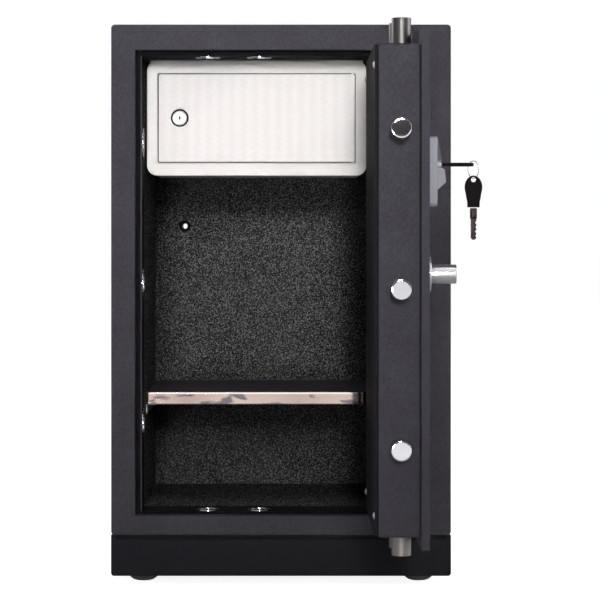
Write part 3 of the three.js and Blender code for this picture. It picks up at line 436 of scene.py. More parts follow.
def dress(piece, slot, body, *replaced, material=None):
    piece.data.materials.clear()
    piece.data.materials.append(material or MATERIALS[slot])
    if replaced:
        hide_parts(*replaced)
    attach(piece, body)
    return piece


def from_bmesh(name, bm):
    bmesh.ops.recalc_face_normals(bm, faces=bm.faces)
    mesh = bpy.data.meshes.new(name)
    bm.to_mesh(mesh)
    bm.free()
    smooth(mesh)
    return link(name, mesh)


def fillet(points, radius, steps=5, closed=False):
    """Rounds the corners of a line of 2D points. A point with a third number has its own radius."""
    rounded = []
    count = len(points)
    for i, point in enumerate(points):
        if not closed and i in (0, count - 1):
            rounded.append(tuple(point[:2]))
            continue
        here = Vector(point[:2])
        before = Vector(points[i - 1][:2]) - here
        after = Vector(points[(i + 1) % count][:2]) - here
        own = point[2] if len(point) > 2 else radius
        if own < TINY or before.length < TINY or after.length < TINY:
            rounded.append(tuple(here))
            continue
        angle = before.angle(after)
        if angle > math.pi - NEARLY_STRAIGHT:
            rounded.append(tuple(here))
            continue
        reach = min(own / math.tan(angle / 2), before.length * HALF_SIDE, after.length * HALF_SIDE)
        size = reach * math.tan(angle / 2)
        start = here + before.normalized() * reach
        end = here + after.normalized() * reach
        centre = here + (before.normalized() + after.normalized()).normalized() * size / math.sin(angle / 2)
        first, last = start - centre, end - centre
        sweep = first.angle(last)
        for j in range(steps + 1):
            share = j / steps
            spot = (first * math.sin((1 - share) * sweep) + last * math.sin(share * sweep)) / math.sin(sweep)
            rounded.append(tuple(centre + spot))
    return rounded


def on_axis(axis, centre, radius, angle, height):
    """A point at that radius and angle round an axis through centre, and at that height along it."""
    a, b = radius * math.cos(angle), radius * math.sin(angle)
    x, y, z = centre
    if axis == "x":
        return (height, y + a, z + b)
    if axis == "y":
        return (x + a, height, z + b)
    return (x + a, y + b, height)


def lathe(name, profile, axis, centre, segments=96, closed=False):
    """A turned piece from its half section, a line of (radius, height)."""
    bm = bmesh.new()
    rings = []
    for radius, height in profile:
        if radius < TINY:
            rings.append([bm.verts.new(on_axis(axis, centre, 0, 0, height))])
        else:
            rings.append([bm.verts.new(on_axis(axis, centre, radius, math.tau * i / segments, height))
                          for i in range(segments)])
    pairs = list(zip(rings, rings[1:] + rings[:1])) if closed else list(zip(rings, rings[1:]))
    for first, second in pairs:
        for i in range(segments):
            j = (i + 1) % segments
            if len(first) == 1:
                bm.faces.new((first[0], second[i], second[j]))
            elif len(second) == 1:
                bm.faces.new((first[i], second[0], first[j]))
            else:
                bm.faces.new((first[i], second[i], second[j], first[j]))
    return from_bmesh(name, bm)


def arc(centre, radius, start, end, steps):
    """Points on an arc, with its angles in degrees."""
    spots = [math.radians(start + (end - start) * i / steps) for i in range(steps + 1)]
    return [(centre[0] + radius * math.cos(a), centre[1] + radius * math.sin(a)) for a in spots]


def circle(x, y, radius, count):
    spots = [math.tau * i / count for i in range(count)]
    return [(x + radius * math.cos(a), y + radius * math.sin(a)) for a in spots]


def round_box(left, right, bottom, top, radius, steps=8):
    """The outline of a rectangle with round corners."""
    radius = max(radius, TINY)
    return (arc((right - radius, bottom + radius), radius, -90, 0, steps)
            + arc((right - radius, top - radius), radius, 0, 90, steps)
            + arc((left + radius, top - radius), radius, 90, 180, steps)
            + arc((left + radius, bottom + radius), radius, 180, 270, steps))


def drawn_mesh(name, data):
    """A curve's own mesh. The curve is taken away."""
    drawn = link(name + "_drawn", data)
    mesh = bpy.data.meshes.new_from_object(drawn.evaluated_get(bpy.context.evaluated_depsgraph_get()))
    mesh.name = name
    bpy.data.objects.remove(drawn)
    bpy.data.curves.remove(data)
    return mesh


def plate(name, loops, thickness, edge, basis, steps=3):
    """A flat piece from its outlines, the first outside and the rest holes, with round edges.

    It is drawn lying down with its middle at height 0, and basis stands it in its place."""
    data = bpy.data.curves.new(name, "CURVE")
    data.dimensions = "2D"
    data.fill_mode = "BOTH"
    data.extrude = thickness / 2 - edge
    data.bevel_depth = edge
    data.bevel_resolution = steps
    data.offset = -edge
    for loop in loops:
        spline = data.splines.new("POLY")
        spline.points.add(len(loop) - 1)
        for point, (x, y) in zip(spline.points, loop):
            point.co = (x, y, 0, 1)
        spline.use_cyclic_u = True
    mesh = drawn_mesh(name, data)
    bm = bmesh.new()
    bm.from_mesh(mesh)
    bmesh.ops.remove_doubles(bm, verts=bm.verts, dist=SAME_PLACE)
    bmesh.ops.transform(bm, matrix=basis, verts=bm.verts)
    bpy.data.meshes.remove(mesh)
    return from_bmesh(name, bm)


def standing(axis, height):
    """Stands a flat drawing up, square to x or y: its own x and y become the row's y and z, or x and z."""
    if axis == "x":
        turned, place = ((0, 0, 1), (1, 0, 0), (0, 1, 0)), (height, 0, 0)
    else:
        turned, place = ((1, 0, 0), (0, 0, -1), (0, 1, 0)), (0, height, 0)
    basis = Matrix(turned).to_4x4()
    basis.translation = place
    return basis


def wire(name, points, radius):
    """A wire of round section along points."""
    data = bpy.data.curves.new(name, "CURVE")
    data.dimensions = "3D"
    data.bevel_depth = radius
    data.bevel_resolution = WIRE_STEPS
    spline = data.splines.new("POLY")
    spline.points.add(len(points) - 1)
    for point, spot in zip(spline.points, points):
        point.co = (*spot, 1)
    mesh = drawn_mesh(name, data)
    smooth(mesh)
    return link(name, mesh)


def hollowed(piece, *cutters):
    """Cuts pieces out of another and keeps the result as its mesh."""
    for cutter in cutters:
        cut = piece.modifiers.new("cut", "BOOLEAN")
        cut.operation = "DIFFERENCE"
        cut.solver = "EXACT"
        cut.object = cutter
    mesh = bpy.data.meshes.new_from_object(piece.evaluated_get(bpy.context.evaluated_depsgraph_get()))
    piece.modifiers.clear()
    old = piece.data
    piece.data = mesh
    bpy.data.meshes.remove(old)
    for cutter in cutters:
        bpy.data.objects.remove(cutter)
    mesh.name = piece.name
    smooth(mesh)
    return piece


# The frame's own parts: rounded edges and materials

EDGE_WIDTHS = {  # in millimetres
    "front_frame": 0.8, "body_wrap": 0.8, "plinth": 0.9, "back_panel": 0.5, "door_plate": 0.9,
    "door_box": 1.2, "door_inner_cover": 0.6, "inner_tank": 0.4, "locker_box": 0.5, "shelf_board": 0.7,
    "shelf_trim": 0.5, "lock_case": 0.6, "lock_hood": 0.8, "door_seal": 0.3, "side_bolt_guide": 0.5,
}
DEFAULT_EDGE = 0.3
EDGE_STEPS = 3
BEVEL_ANGLE = math.radians(38)
WELD_REACH = 0.01 * MM
FLAT_ANGLE = math.radians(0.5)


def finish_node(name, piece):
    mesh = piece.data
    normals = mesh.attributes.get("custom_normal")
    if normals:
        mesh.attributes.remove(normals)
    mesh.polygons.foreach_set("use_smooth", [True] * len(mesh.polygons))
    weld = piece.modifiers.new("weld", "WELD")
    weld.merge_threshold = WELD_REACH
    merge = piece.modifiers.new("merge", "DECIMATE")
    merge.decimate_type = "DISSOLVE"
    merge.angle_limit = FLAT_ANGLE
    bevel = piece.modifiers.new("edges", "BEVEL")
    bevel.width = EDGE_WIDTHS.get(name, DEFAULT_EDGE) * MM
    bevel.segments = EDGE_STEPS
    bevel.limit_method = "ANGLE"
    bevel.angle_limit = BEVEL_ANGLE
    bevel.harden_normals = True
    weighted = piece.modifiers.new("flat_faces", "WEIGHTED_NORMAL")
    weighted.keep_sharp = True
    for holder in piece.material_slots:
        holder.material = OWN_MATERIALS.get(name) or MATERIALS[holder.material.name.split(".")[0]]


for node_name, node_piece in nodes.items():
    finish_node(node_name, node_piece)


# Bolts and strikes

BOLT_DOME = 0.09 * MM
BOLT_EDGE = 0.7 * MM
BOLT_SHOULDER = BOLT_EDGE * 0.2
BOLT_ROOT_EDGE = 0.3 * MM
DOME_STEPS = 9


def bolt_profile(radius, length):
    """A turned bolt from its root at 0 to its tip at length: a soft edge and a faintly domed end."""
    flat = radius - BOLT_EDGE
    shares = [1 - i / DOME_STEPS for i in range(DOME_STEPS + 1)]
    dome = [(flat * share, length - BOLT_DOME * share ** 2) for share in shares]
    side = fillet([(radius, 0), (radius, length - BOLT_DOME - BOLT_SHOULDER), (flat, length - BOLT_DOME)],
                  BOLT_EDGE, 6)
    return [(0, 0), (radius - BOLT_ROOT_EDGE, 0), (radius, BOLT_ROOT_EDGE)] + side[1:-1] + dome


def make_bolt(name, body, axis, outward, material=None):
    low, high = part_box(name)
    index = "xyz".index(axis)
    across = (high[0] - low[0]) / 2
    length = high[index] - low[index]
    root = high[index] if outward < 0 else low[index]
    profile = [(r, root + outward * h) for r, h in bolt_profile(across, length)]
    dress(lathe(name + "_turned", profile, axis, middle(name)), "chrome", body, name, material=material)


for level in ("lower", "middle", "upper"):
    make_bolt(f"side_bolt_{level}", "side_bolts", "y", -1)
for place in ("outer", "inner"):
    make_bolt(f"top_bolt_{place}", "top_bolts", "z", 1, TOP_BOLT)
    make_bolt(f"bottom_bolt_{place}", "bottom_bolts", "z", -1, BOTTOM_BOLT)

STRIKE_FLANGE = 1.5 * MM
STRIKE_WALL = 2.2 * MM
STRIKE_GAP = 0.9 * MM
STRIKE_BORE_EDGE = 0.7 * MM
STRIKE_RIM_EDGE = 1.0 * MM
STRIKE_END_EDGE = 0.4 * MM
STRIKE_EDGE = 0.25 * MM


def make_strike(name, axis, inward):
    """A turned socket. Inward is the side of its flange that shows: the way from its tube into the safe."""
    low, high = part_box(name)
    index = "xyz".index(axis)
    across = max(high[i] - low[i] for i in range(3) if i != index) / 2
    bolt_low, bolt_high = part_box("side_bolt_lower")
    bore = (bolt_high[0] - bolt_low[0]) / 2 + STRIKE_GAP
    face = high[index] if inward > 0 else low[index]
    back = low[index] if inward > 0 else high[index]
    seat = face - inward * STRIKE_FLANGE
    tube = bore + STRIKE_WALL
    section = fillet([(bore, face, STRIKE_BORE_EDGE), (across, face, STRIKE_RIM_EDGE), (across, seat),
                      (tube, seat), (tube, back, STRIKE_END_EDGE), (bore, back, STRIKE_END_EDGE)],
                     STRIKE_EDGE, 4, True)
    dress(lathe(name + "_turned", section, axis, middle(name), 96, True), "chrome", "cabinet", name)


for level in ("lower", "middle", "upper"):
    make_strike(f"side_strike_{level}", "x", 1)
for place in ("outer", "inner"):
    make_strike(f"roof_strike_{place}", "z", -1)
    make_strike(f"floor_strike_{place}", "z", 1)


# Handle

ROSETTE_GAP = 0.4 * MM
ROSETTE_BACK_EDGE = 0.2 * MM
ROSETTE_EDGE = 1.1 * MM
KNOB_DOME = 0.8 * MM
KNOB_EDGE = 1.2 * MM
KNOB_BACK_EDGE = 0.5 * MM
KNOB_STEPS = 8


def make_handle():
    low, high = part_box("handle_rosette")
    radius = (high[2] - low[2]) / 2
    shaft_low, shaft_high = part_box("handle_shaft")
    bore = (shaft_high[2] - shaft_low[2]) / 2 + ROSETTE_GAP
    section = fillet([(bore, low[0]), (radius, low[0], ROSETTE_BACK_EDGE), (radius, high[0], ROSETTE_EDGE),
                      (bore, high[0])], 0.3 * MM, 5, True)
    dress(lathe("handle_rosette_turned", section, "x", middle("handle_rosette"), 128, True),
          "satin_steel", "door", "handle_rosette")
    low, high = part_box("handle_knob")
    radius = (high[2] - low[2]) / 2
    line = [(0, low[0]), (radius, low[0]), (radius, high[0] - KNOB_DOME, KNOB_EDGE)]
    shares = [1 - i / KNOB_STEPS for i in range(1, KNOB_STEPS + 1)]
    end = [(radius * share, high[0] - KNOB_DOME * share ** 2) for share in shares]
    dress(lathe("handle_knob_turned", fillet(line + end[:1], KNOB_BACK_EDGE, 6)[:-1] + end, "x",
                middle("handle_knob"), 128), "satin_steel", "handle", "handle_knob")


make_handle()


# Feet and grommet

FOOT_FLAT = 0.32  # the share of a foot's radius that it stands on
FOOT_HOLLOW = 0.55  # the share of that flat which is the hollow's roof
FOOT_HOLLOW_RIM = 0.7
FOOT_HOLLOW_DEPTH = 0.4 * MM
FOOT_CURVE = 0.85  # the share of its height that curves; the rest is upright
FOOT_STEPS = 12


def make_foot(name):
    low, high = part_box(name)
    radius = (high[0] - low[0]) / 2
    height = high[2] - low[2]
    flat = radius * FOOT_FLAT
    curve = [(flat + (radius - flat) * math.sin(a), low[2] + height * FOOT_CURVE * (1 - math.cos(a)))
             for a in [math.pi / 2 * i / FOOT_STEPS for i in range(FOOT_STEPS + 1)]]
    roof = low[2] + FOOT_HOLLOW_DEPTH
    profile = [(0, roof), (flat * FOOT_HOLLOW, roof), (flat * FOOT_HOLLOW_RIM, low[2])] + curve
    profile += [(radius, high[2]), (0, high[2])]
    dress(lathe(name + "_moulded", profile, "z", middle(name), 72), "rubber", "cabinet", name)


for side in ("left", "right"):
    for row in ("front", "back"):
        make_foot(f"foot_{row}_{side}")


GROMMET_BORE = 4 * MM
GROMMET_SLEEVE = 5.2 * MM
GROMMET_RIM = 2 * MM
GROMMET_BORE_EDGE = 0.8 * MM
GROMMET_RIM_EDGE = 1.2 * MM


def make_grommet():
    low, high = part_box("cable_grommet")
    flange = (high[0] - low[0]) / 2
    seat = low[1] + GROMMET_RIM
    section = fillet([(GROMMET_BORE, low[1], GROMMET_BORE_EDGE), (flange, low[1], GROMMET_RIM_EDGE),
                      (flange, seat), (GROMMET_SLEEVE, seat), (GROMMET_SLEEVE, high[1]),
                      (GROMMET_BORE, high[1])], 0.2 * MM, 5, True)
    dress(lathe("cable_grommet_moulded", section, "y", middle("cable_grommet"), 72, True),
          "black_trim", "cabinet", "cable_grommet")


make_grommet()


# Lining

PILE_CELL = 3 * MM
PILE_WAVE = 0.35 * MM
PILE_TUFT = 0.22 * MM
WAVES_PER_METRE = 45
TUFTS_PER_METRE = 240
LAYER_PLAY = 0.1 * MM
CABLE_HOLE = 2.1 * PILE_CELL  # the radius round the grommet that the lining leaves open


def pile_depth(spot):
    """How far a point of the lining lies behind its face: slow waves and fine tufts."""
    wave = (noise.noise(spot * WAVES_PER_METRE) + 1) / 2
    tuft = (noise.noise(spot * TUFTS_PER_METRE) + 1) / 2
    return PILE_WAVE * wave + PILE_TUFT * tuft


def pile_sheet(name, node, body, rows, outward, keep=None):
    """A sheet of short pile through rows of points, pressed back along outward."""
    bm = bmesh.new()
    grid = []
    for row in rows:
        grid.append([bm.verts.new(spot + way * pile_depth(spot)) for spot, way in zip(row, outward(row))])
    for first, second in zip(grid, grid[1:]):
        for i in range(len(first) - 1):
            face = (first[i], first[i + 1], second[i + 1], second[i])
            if keep and not keep(sum((v.co for v in face), Vector()) / 4):
                continue
            bm.faces.new(face)
    bmesh.ops.delete(bm, geom=[v for v in bm.verts if not v.link_faces], context="VERTS")
    bmesh.ops.recalc_face_normals(bm, faces=bm.faces)
    mesh = bpy.data.meshes.new(name)
    bm.to_mesh(mesh)
    bm.free()
    piece = link(name, mesh)
    mesh.polygons.foreach_set("use_smooth", [True] * len(mesh.polygons))
    return dress(piece, "carpet", body, node)


def spread(low, high, cell):
    count = max(1, round((high - low) / cell))
    return [low + (high - low) * i / count for i in range(count + 1)]


def make_lining():
    low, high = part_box("felt_wrap")
    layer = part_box("felt_back")[1][1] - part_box("felt_back")[0][1]
    left, right, bottom, top = low[0] + layer, high[0] - layer, low[2] + layer, high[2] - layer
    loop = [(x, bottom, (0, -1)) for x in spread(left, right, PILE_CELL)]
    loop += [(right, z, (1, 0)) for z in spread(bottom, top, PILE_CELL)]
    loop += [(x, top, (0, 1)) for x in reversed(spread(left, right, PILE_CELL))]
    loop += [(left, z, (-1, 0)) for z in reversed(spread(bottom, top, PILE_CELL))]
    ways = [Vector((x, 0, z)) for _, _, (x, z) in loop]
    rows = [[Vector((x, y, z)) for x, z, _ in loop] for y in spread(low[1], high[1], PILE_CELL)]
    wrap = pile_sheet("felt_wrap_pile", "felt_wrap", "cabinet", rows, lambda row: ways)
    low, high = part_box("felt_back")
    hole = middle("cable_grommet")
    rows = [[Vector((x, low[1], z)) for x in spread(low[0], high[0], PILE_CELL)]
            for z in spread(low[2], high[2], PILE_CELL)]
    back = pile_sheet("felt_back_pile", "felt_back", "cabinet", rows,
                      lambda row: [Vector((0, 1, 0))] * len(row),
                      lambda spot: (spot.xz - hole.xz).length > CABLE_HOLE)
    for piece in (wrap, back):
        solid = piece.modifiers.new("layer", "SOLIDIFY")
        solid.thickness = layer - PILE_WAVE - PILE_TUFT - LAYER_PLAY
        solid.offset = 1


make_lining()


# Locker

LOCKER_GAP = 1.3 * MM
BEZEL_BORDER = 19.1 * MM
BEZEL_CORNER = 14.5 * MM
BEZEL_INNER_CORNER = 2.6 * MM
BEZEL_EDGE = 1.9 * MM
GAP_SHADOW_THICKNESS = 1.4 * MM  # a painted shadow: a dark strip behind the gap round the door; its thickness, and how far it goes each way
GAP_SHADOW_OUTWARD = 1.6 * MM
GAP_SHADOW_INWARD = 0.9 * MM
CAM_LOCK_BORE = 6.3 * MM
CAM_LOCK_SLEEVE = 8 * MM
CAM_LOCK_FACE = 1.4 * MM
CAM_LOCK_BEVEL = 1.0 * MM
# A dark ring round the cam lock's face: a painted shadow in the gap round it
SHADOW_RING_BEHIND = 0.9 * MM
SHADOW_RING_AHEAD = 0.4 * MM
SHADOW_RING_WIDTH = 2.1 * MM
SHADOW_RING_FOOT = 2.4 * MM
KEYWAY = 2.4 * MM  # the width, and half the height, of the mark, a painted shade standing for the keyway's slot
KEYWAY_PLACE = 0.97 * MM  # how far behind the plug's face the middle of the mark lies


def grown(box, reach):
    """An outline's left, right, bottom and top, moved outwards."""
    left, right, bottom, top = box
    return left - reach, right + reach, bottom - reach, top + reach


def make_locker_front():
    low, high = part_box("locker_bezel")
    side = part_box("locker_door")[0][0] - low[0] - LOCKER_GAP
    border = BEZEL_BORDER - LOCKER_GAP
    opening = (low[0] + side, high[0] - side, low[2] + border, high[2] - border)
    outside = round_box(low[0], high[0], low[2], high[2], BEZEL_CORNER, 16)
    inside = round_box(*opening, BEZEL_INNER_CORNER)
    depth = high[1] - low[1]
    dress(plate("locker_bezel_formed", [outside, inside], depth, BEZEL_EDGE,
                standing("y", low[1] + depth / 2), 5), "white_paint", "cabinet", "locker_bezel")
    # A painted shadow in the gap round the door: a black strip behind it
    around = round_box(*grown(opening, GAP_SHADOW_OUTWARD), 3 * MM)
    within = round_box(*grown(opening, -GAP_SHADOW_INWARD), 2 * MM)
    dress(plate("locker_gap_shadow", [around, within], GAP_SHADOW_THICKNESS, 0.3 * MM,
                standing("y", high[1] + GAP_SHADOW_THICKNESS / 2 + 0.1 * MM)), "black_trim", "cabinet")


def make_locker_lock():
    low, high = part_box("locker_lock_barrel")
    spot = middle("locker_lock_barrel")
    radius = (high[0] - low[0]) / 2
    front, face = low[1], low[1] + CAM_LOCK_FACE
    section = fillet([(CAM_LOCK_BORE, front), (radius - CAM_LOCK_BEVEL, front, 0.6 * MM),
                      (radius, face, 0.2 * MM), (CAM_LOCK_SLEEVE, face), (CAM_LOCK_SLEEVE, high[1]),
                      (CAM_LOCK_BORE, high[1])], 0.3 * MM, 5, True)
    dress(lathe("locker_lock_barrel_turned", section, "y", spot, 96, True),
          "chrome", "small_door", "locker_lock_barrel", material=LOCK_FACE)
    # A black ring round the lock's face, as a painted shadow in the gap round it
    inner = radius + 0.1 * MM
    shadow_ring = fillet([(inner, face - SHADOW_RING_BEHIND), (radius + SHADOW_RING_WIDTH, face - SHADOW_RING_BEHIND),
                     (radius + SHADOW_RING_FOOT, face + SHADOW_RING_AHEAD), (inner, face + SHADOW_RING_AHEAD)],
                    0.35 * MM, 5, True)
    dress(lathe("locker_lock_shadow_ring", shadow_ring, "y", spot, 96, True), "black_trim", "small_door")
    # The keyway is a flat black mark: painted shade standing for its slot
    mark = round_box(spot.x - KEYWAY / 2, spot.x + KEYWAY / 2, spot.z - KEYWAY, spot.z + KEYWAY, 0.4 * MM)
    basis = standing("y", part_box("locker_lock_plug")[0][1] + KEYWAY_PLACE)
    dress(plate("locker_lock_keyway_shade", [mark], 2 * MM, 0.1 * MM, basis), "black_trim", "small_plug")


make_locker_front()
make_locker_lock()


# Lock outside: its cast base, and a hood that is hollowed round the key

LOCK_HOLE = 9.3 * MM
LOCK_BASE_CORNER = 5 * MM
LOCK_BASE_EDGE = 1.5 * MM
HOOD_TOP = 1.2 * MM  # how far the hood's top edge stands out, and then its wedge
HOOD_WEDGE = 5.6 * MM
HOOD_BEVEL = 1.6 * MM  # how much less its ledge stands out than its foot
HOOD_HEIGHTS = (3.6 * MM, -4.2 * MM, -7 * MM, -21.5 * MM)  # of its corners over the key
# The hollow's radii and depths
HOOD_DISH = ((0, -1 * MM), (8.2 * MM, -1 * MM), (8.2 * MM, 0.2 * MM), (10.5 * MM, 3 * MM),
             (15.5 * MM, 13 * MM), (0, 13 * MM))
NOTCH_DEPTHS = (-1 * MM, 14 * MM)
NOTCH_HEIGHTS = (-4.4 * MM, 3.7 * MM)
NOTCH_LENGTH = 40 * MM
NOTCH_ASIDE = 12 * MM


def make_lock():
    low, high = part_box("lock_base")
    axis = middle("lock_plug")
    axis.y = middle("lock_base").y
    axis.z = middle("key_blade").z
    outline = round_box(low[1], high[1], low[2], high[2], LOCK_BASE_CORNER, 10)
    depth = high[0] - low[0]
    dress(plate("lock_base_cast", [outline, circle(axis.y, axis.z, LOCK_HOLE, 64)], depth, LOCK_BASE_EDGE,
                standing("x", low[0] + depth / 2), 5), "silver_paint", "door", "lock_base")

    low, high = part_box("lock_hood")
    start = low[0]
    upper, lower, ledge, foot = [axis.z + height for height in HOOD_HEIGHTS]
    outline = [(start, high[2]), (start + HOOD_TOP, high[2], 0.5 * MM), (start + HOOD_WEDGE, upper),
               (start + HOOD_WEDGE, lower), (high[0] - HOOD_BEVEL, ledge), (high[0], foot, 1.5 * MM),
               (start, low[2])]
    width = high[1] - low[1]
    hood = plate("lock_hood_cast", [fillet(outline, 0.8 * MM, 6, True)], width, 0.25 * MM,
                 standing("y", low[1] + width / 2))
    dish = lathe("dish", [(radius, start + deep) for radius, deep in HOOD_DISH], "x", axis)
    cut = round_box(*[start + deep for deep in NOTCH_DEPTHS], *[axis.z + up for up in NOTCH_HEIGHTS],
                    0.8 * MM)
    notch = plate("notch", [cut], NOTCH_LENGTH, CUTTER_EDGE, standing("y", axis.y - NOTCH_ASIDE))
    dress(hollowed(hood, dish, notch), "silver_paint", "door", "lock_hood", material=HOOD_COAT)


make_lock()


# Keys

NECK_HALF = 7.4 * MM  # half the width of the bow's neck
# The neck's corners: how far along the bow each is, and how far from its middle line
NECK = ((0.6 * MM, NECK_HALF - 0.4 * MM), (1.6 * MM, NECK_HALF), (6.5 * MM, NECK_HALF),
        (11 * MM, NECK_HALF * 1.12))
BOW_STRETCH = 1.32
BOW_REACH = 112  # the bow's head is drawn to this many degrees each way
BOW_STEP = 7
BOW_EDGE = 1.3 * MM
HOLE_RADIUS = 3.0 * MM
HOLE_INSET = 4.9 * MM
BLADE_WIDTH, BLADE_LENGTH, BLADE_THICKNESS = 6.6 * MM, 25 * MM, 2.2 * MM
TIP = 2 * MM
COLLAR_LENGTH, COLLAR_HALF, COLLAR_THICKNESS, COLLAR_EDGE = 13 * MM, 4.1 * MM, 6.4 * MM, 2.2 * MM
COLLAR_GAP = 0.3 * MM
CUT_DEPTHS = (0.9 * MM, 1.5 * MM, 0.7 * MM, 1.3 * MM)
GROOVE = (-37 * MM, -15 * MM, -0.9 * MM, 0.5 * MM)  # left, right, bottom and top
GROOVE_HEIGHT = 1.2 * MM


def key_outlines():
    """The bow's outline and hole, the neck end at 0 and the far end along x, and its thickness."""
    low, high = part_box("key_bow")
    length, radius = high[0] - low[0], (high[1] - low[1]) / 2
    reach = radius * BOW_STRETCH
    head = [math.radians(d) for d in range(-BOW_REACH, BOW_REACH + 1, BOW_STEP)]
    outline = [(x, -y) for x, y in NECK]
    outline += [(length - reach + reach * math.cos(a), radius * math.sin(a)) for a in head]
    outline += reversed(NECK)
    hole = circle(length - HOLE_INSET, 0, HOLE_RADIUS, 40)
    return fillet(outline, 3 * MM, 3, True), hole, high[2] - low[2]


def blade_outline():
    half = BLADE_WIDTH / 2
    root = -COLLAR_LENGTH + 1 * MM
    end = -COLLAR_LENGTH - BLADE_LENGTH
    points = [(root, -half), (end + TIP, -half, 1.5 * MM), (end, -half + TIP, 1 * MM),
              (end, half - TIP, 1 * MM), (end + TIP, half, 0.6 * MM)]
    pitch = (BLADE_LENGTH - TIP * 2) / len(CUT_DEPTHS)
    for i, depth in enumerate(CUT_DEPTHS):
        for share, cut in ((0.2, 0), (0.45, depth), (0.55, depth), (0.8, 0)):
            points.append((end + TIP + (i + share) * pitch, half - cut))
    points.append((root, half))
    return fillet(points, 0.15 * MM, 3, True)


def make_key(bow_node, blade_node, body, basis, collar_metal):
    outline, hole, thickness = key_outlines()
    dress(plate(bow_node + "_moulded", [outline, hole], thickness, BOW_EDGE, basis, 5),
          "key_plastic", body, bow_node)
    blade = plate(blade_node + "_cut", [blade_outline()], BLADE_THICKNESS, 0.25 * MM, basis, 2)
    collar_box = round_box(-COLLAR_LENGTH, -COLLAR_GAP, -COLLAR_HALF, COLLAR_HALF, 0.8 * MM)
    collar = plate(blade_node + "_collar", [collar_box], COLLAR_THICKNESS, COLLAR_EDGE, basis, 5)
    groove = plate("groove", [round_box(*GROOVE, 0.6 * MM)], 1 * MM, CUTTER_EDGE,
                   basis @ Matrix.Translation((0, 0, GROOVE_HEIGHT)))
    dress(hollowed(blade, groove), "satin_steel", body, blade_node, material=BLADE_METAL)
    dress(collar, "satin_steel", body, blade_node, material=collar_metal)


RING_WIRE = 0.8 * MM
RING_TURN = math.radians(-58)  # about the upright, from the row's x
RING_START = math.radians(200)
RING_PITCH = 0.42 * MM  # from one turn of its wire to the next
RING_TURNS = 2
RING_STEPS = 120


def make_ring():
    centre = middle("key_ring")
    low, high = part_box("key_ring")
    reach = (high[2] - low[2]) / 2 - RING_WIRE
    across, up = Vector((math.cos(RING_TURN), math.sin(RING_TURN), 0)), Vector((0, 0, 1))
    points = []
    for i in range(RING_STEPS + 1):
        share = i / RING_STEPS
        a = math.tau * RING_TURNS * share + RING_START
        points.append(centre + across * reach * math.cos(a) + up * reach * math.sin(a)
                      + across.cross(up) * (share - 0.5) * RING_TURNS * RING_PITCH)
    dress(wire("key_ring_wire", points, RING_WIRE / 2), "chrome", "ring", "key_ring")


def make_keys():
    low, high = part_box("key_bow")
    flat = Matrix.Translation((low[0], (low[1] + high[1]) / 2, (low[2] + high[2]) / 2))
    make_key("key_bow", "key_blade", "key", flat, LOCK_FACE)
    low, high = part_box("spare_key_bow")
    upright = Matrix(((0, 1, 0), (0, 0, 1), (1, 0, 0))).to_4x4()
    upright.translation = ((low[0] + high[0]) / 2, (low[1] + high[1]) / 2, low[2])
    make_key("spare_key_bow", "spare_key_blade", "spare_key", upright, BLADE_METAL)
    make_ring()


make_keys()


# Screws of the door's inner cover

SCREW_RADIUS = 4.2 * MM
SCREW_RISE = 2.2 * MM
SCREW_SEAT = 0.4 * MM
SCREW_STEPS = 10
CROSS_ARM, CROSS_HALF, CROSS_DEPTH = 2.3 * MM, 0.45 * MM, 1.3 * MM
CROSS_TURN = 0.4
SCREW_INSET = 9 * MM
SCREW_MARGIN = 24 * MM


def make_screw(name, centre, body):
    """A domed screw with a cross recess, its head towards -x."""
    x, y, z = centre
    turns = [math.pi / 2 * i / SCREW_STEPS for i in range(1, SCREW_STEPS + 1)]
    dome = [(SCREW_RADIUS * math.sin(a), x - SCREW_RISE * math.cos(a)) for a in turns]
    head = lathe(name, [(0, x - SCREW_RISE)] + dome + [(SCREW_RADIUS, x + SCREW_SEAT), (0, x + SCREW_SEAT)],
                 "x", centre, 48)
    arm, slot = CROSS_ARM, CROSS_HALF
    cross = [(slot, slot), (arm, slot), (arm, -slot), (slot, -slot), (slot, -arm), (-slot, -arm),
             (-slot, -slot), (-arm, -slot), (-arm, slot), (-slot, slot), (-slot, arm), (slot, arm)]
    basis = (standing("x", x - SCREW_RISE) @ Matrix.Translation((y, z, 0))
             @ Matrix.Rotation(CROSS_TURN, 4, "Z"))
    recess = plate("recess", [cross], CROSS_DEPTH * 2, CUTTER_EDGE, basis, 1)
    dress(hollowed(head, recess), "bare_steel", body)


def make_cover_screws():
    low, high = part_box("door_inner_cover")
    for i, y in enumerate((low[1] + SCREW_INSET, high[1] - SCREW_INSET)):
        for j, z in enumerate((low[2] + SCREW_MARGIN, high[2] - SCREW_MARGIN)):
            make_screw(f"cover_screw_{i}{j}", (low[0], y, z), "door")


make_cover_screws()


# Light, world and floor

WHITE = (1, 1, 1, 1)
BLACK = (0, 0, 0, 1)
# The studio that metals reflect: a dim room ahead, with upright white strips and a soft box
ROOM_LEFT = (84, 74, 66)
ROOM_RIGHT = (52, 55, 64)
ROOM_BLEND = (-0.7, 0.7)  # the direction's x, from one to the other
SKY_REFLECTED = (136, 134, 137)
ROOM_STRIPS = ((-0.95, -0.78), (0.34, 0.56))  # each from and to, as the direction's x
STRIP_EDGE = 0.04
STRIP_SHARE = 0.28
SOFT_BOX = ((0.42, 0.56), (0.86, 0.72))  # its two edges, from none to full, as the direction's z
OVERHEAD = (0.8, 0.92)
AHEAD = (0.35, -0.05)
ABOVE_FLOOR = (0.012, 0.02)
SKY_SHADE = 0.16
FLOOR_SIZE = 40
FLOOR_CELL = 8
FLOOR_WHITE = 0.9
FLOOR_GREY = (0.58, 0.62)
DULL_FLOOR = (0.9, 2.4)  # metals see a dull floor up to the first distance and a white one from the second: painted shade near the safe
DULL_SHARE = 0.1


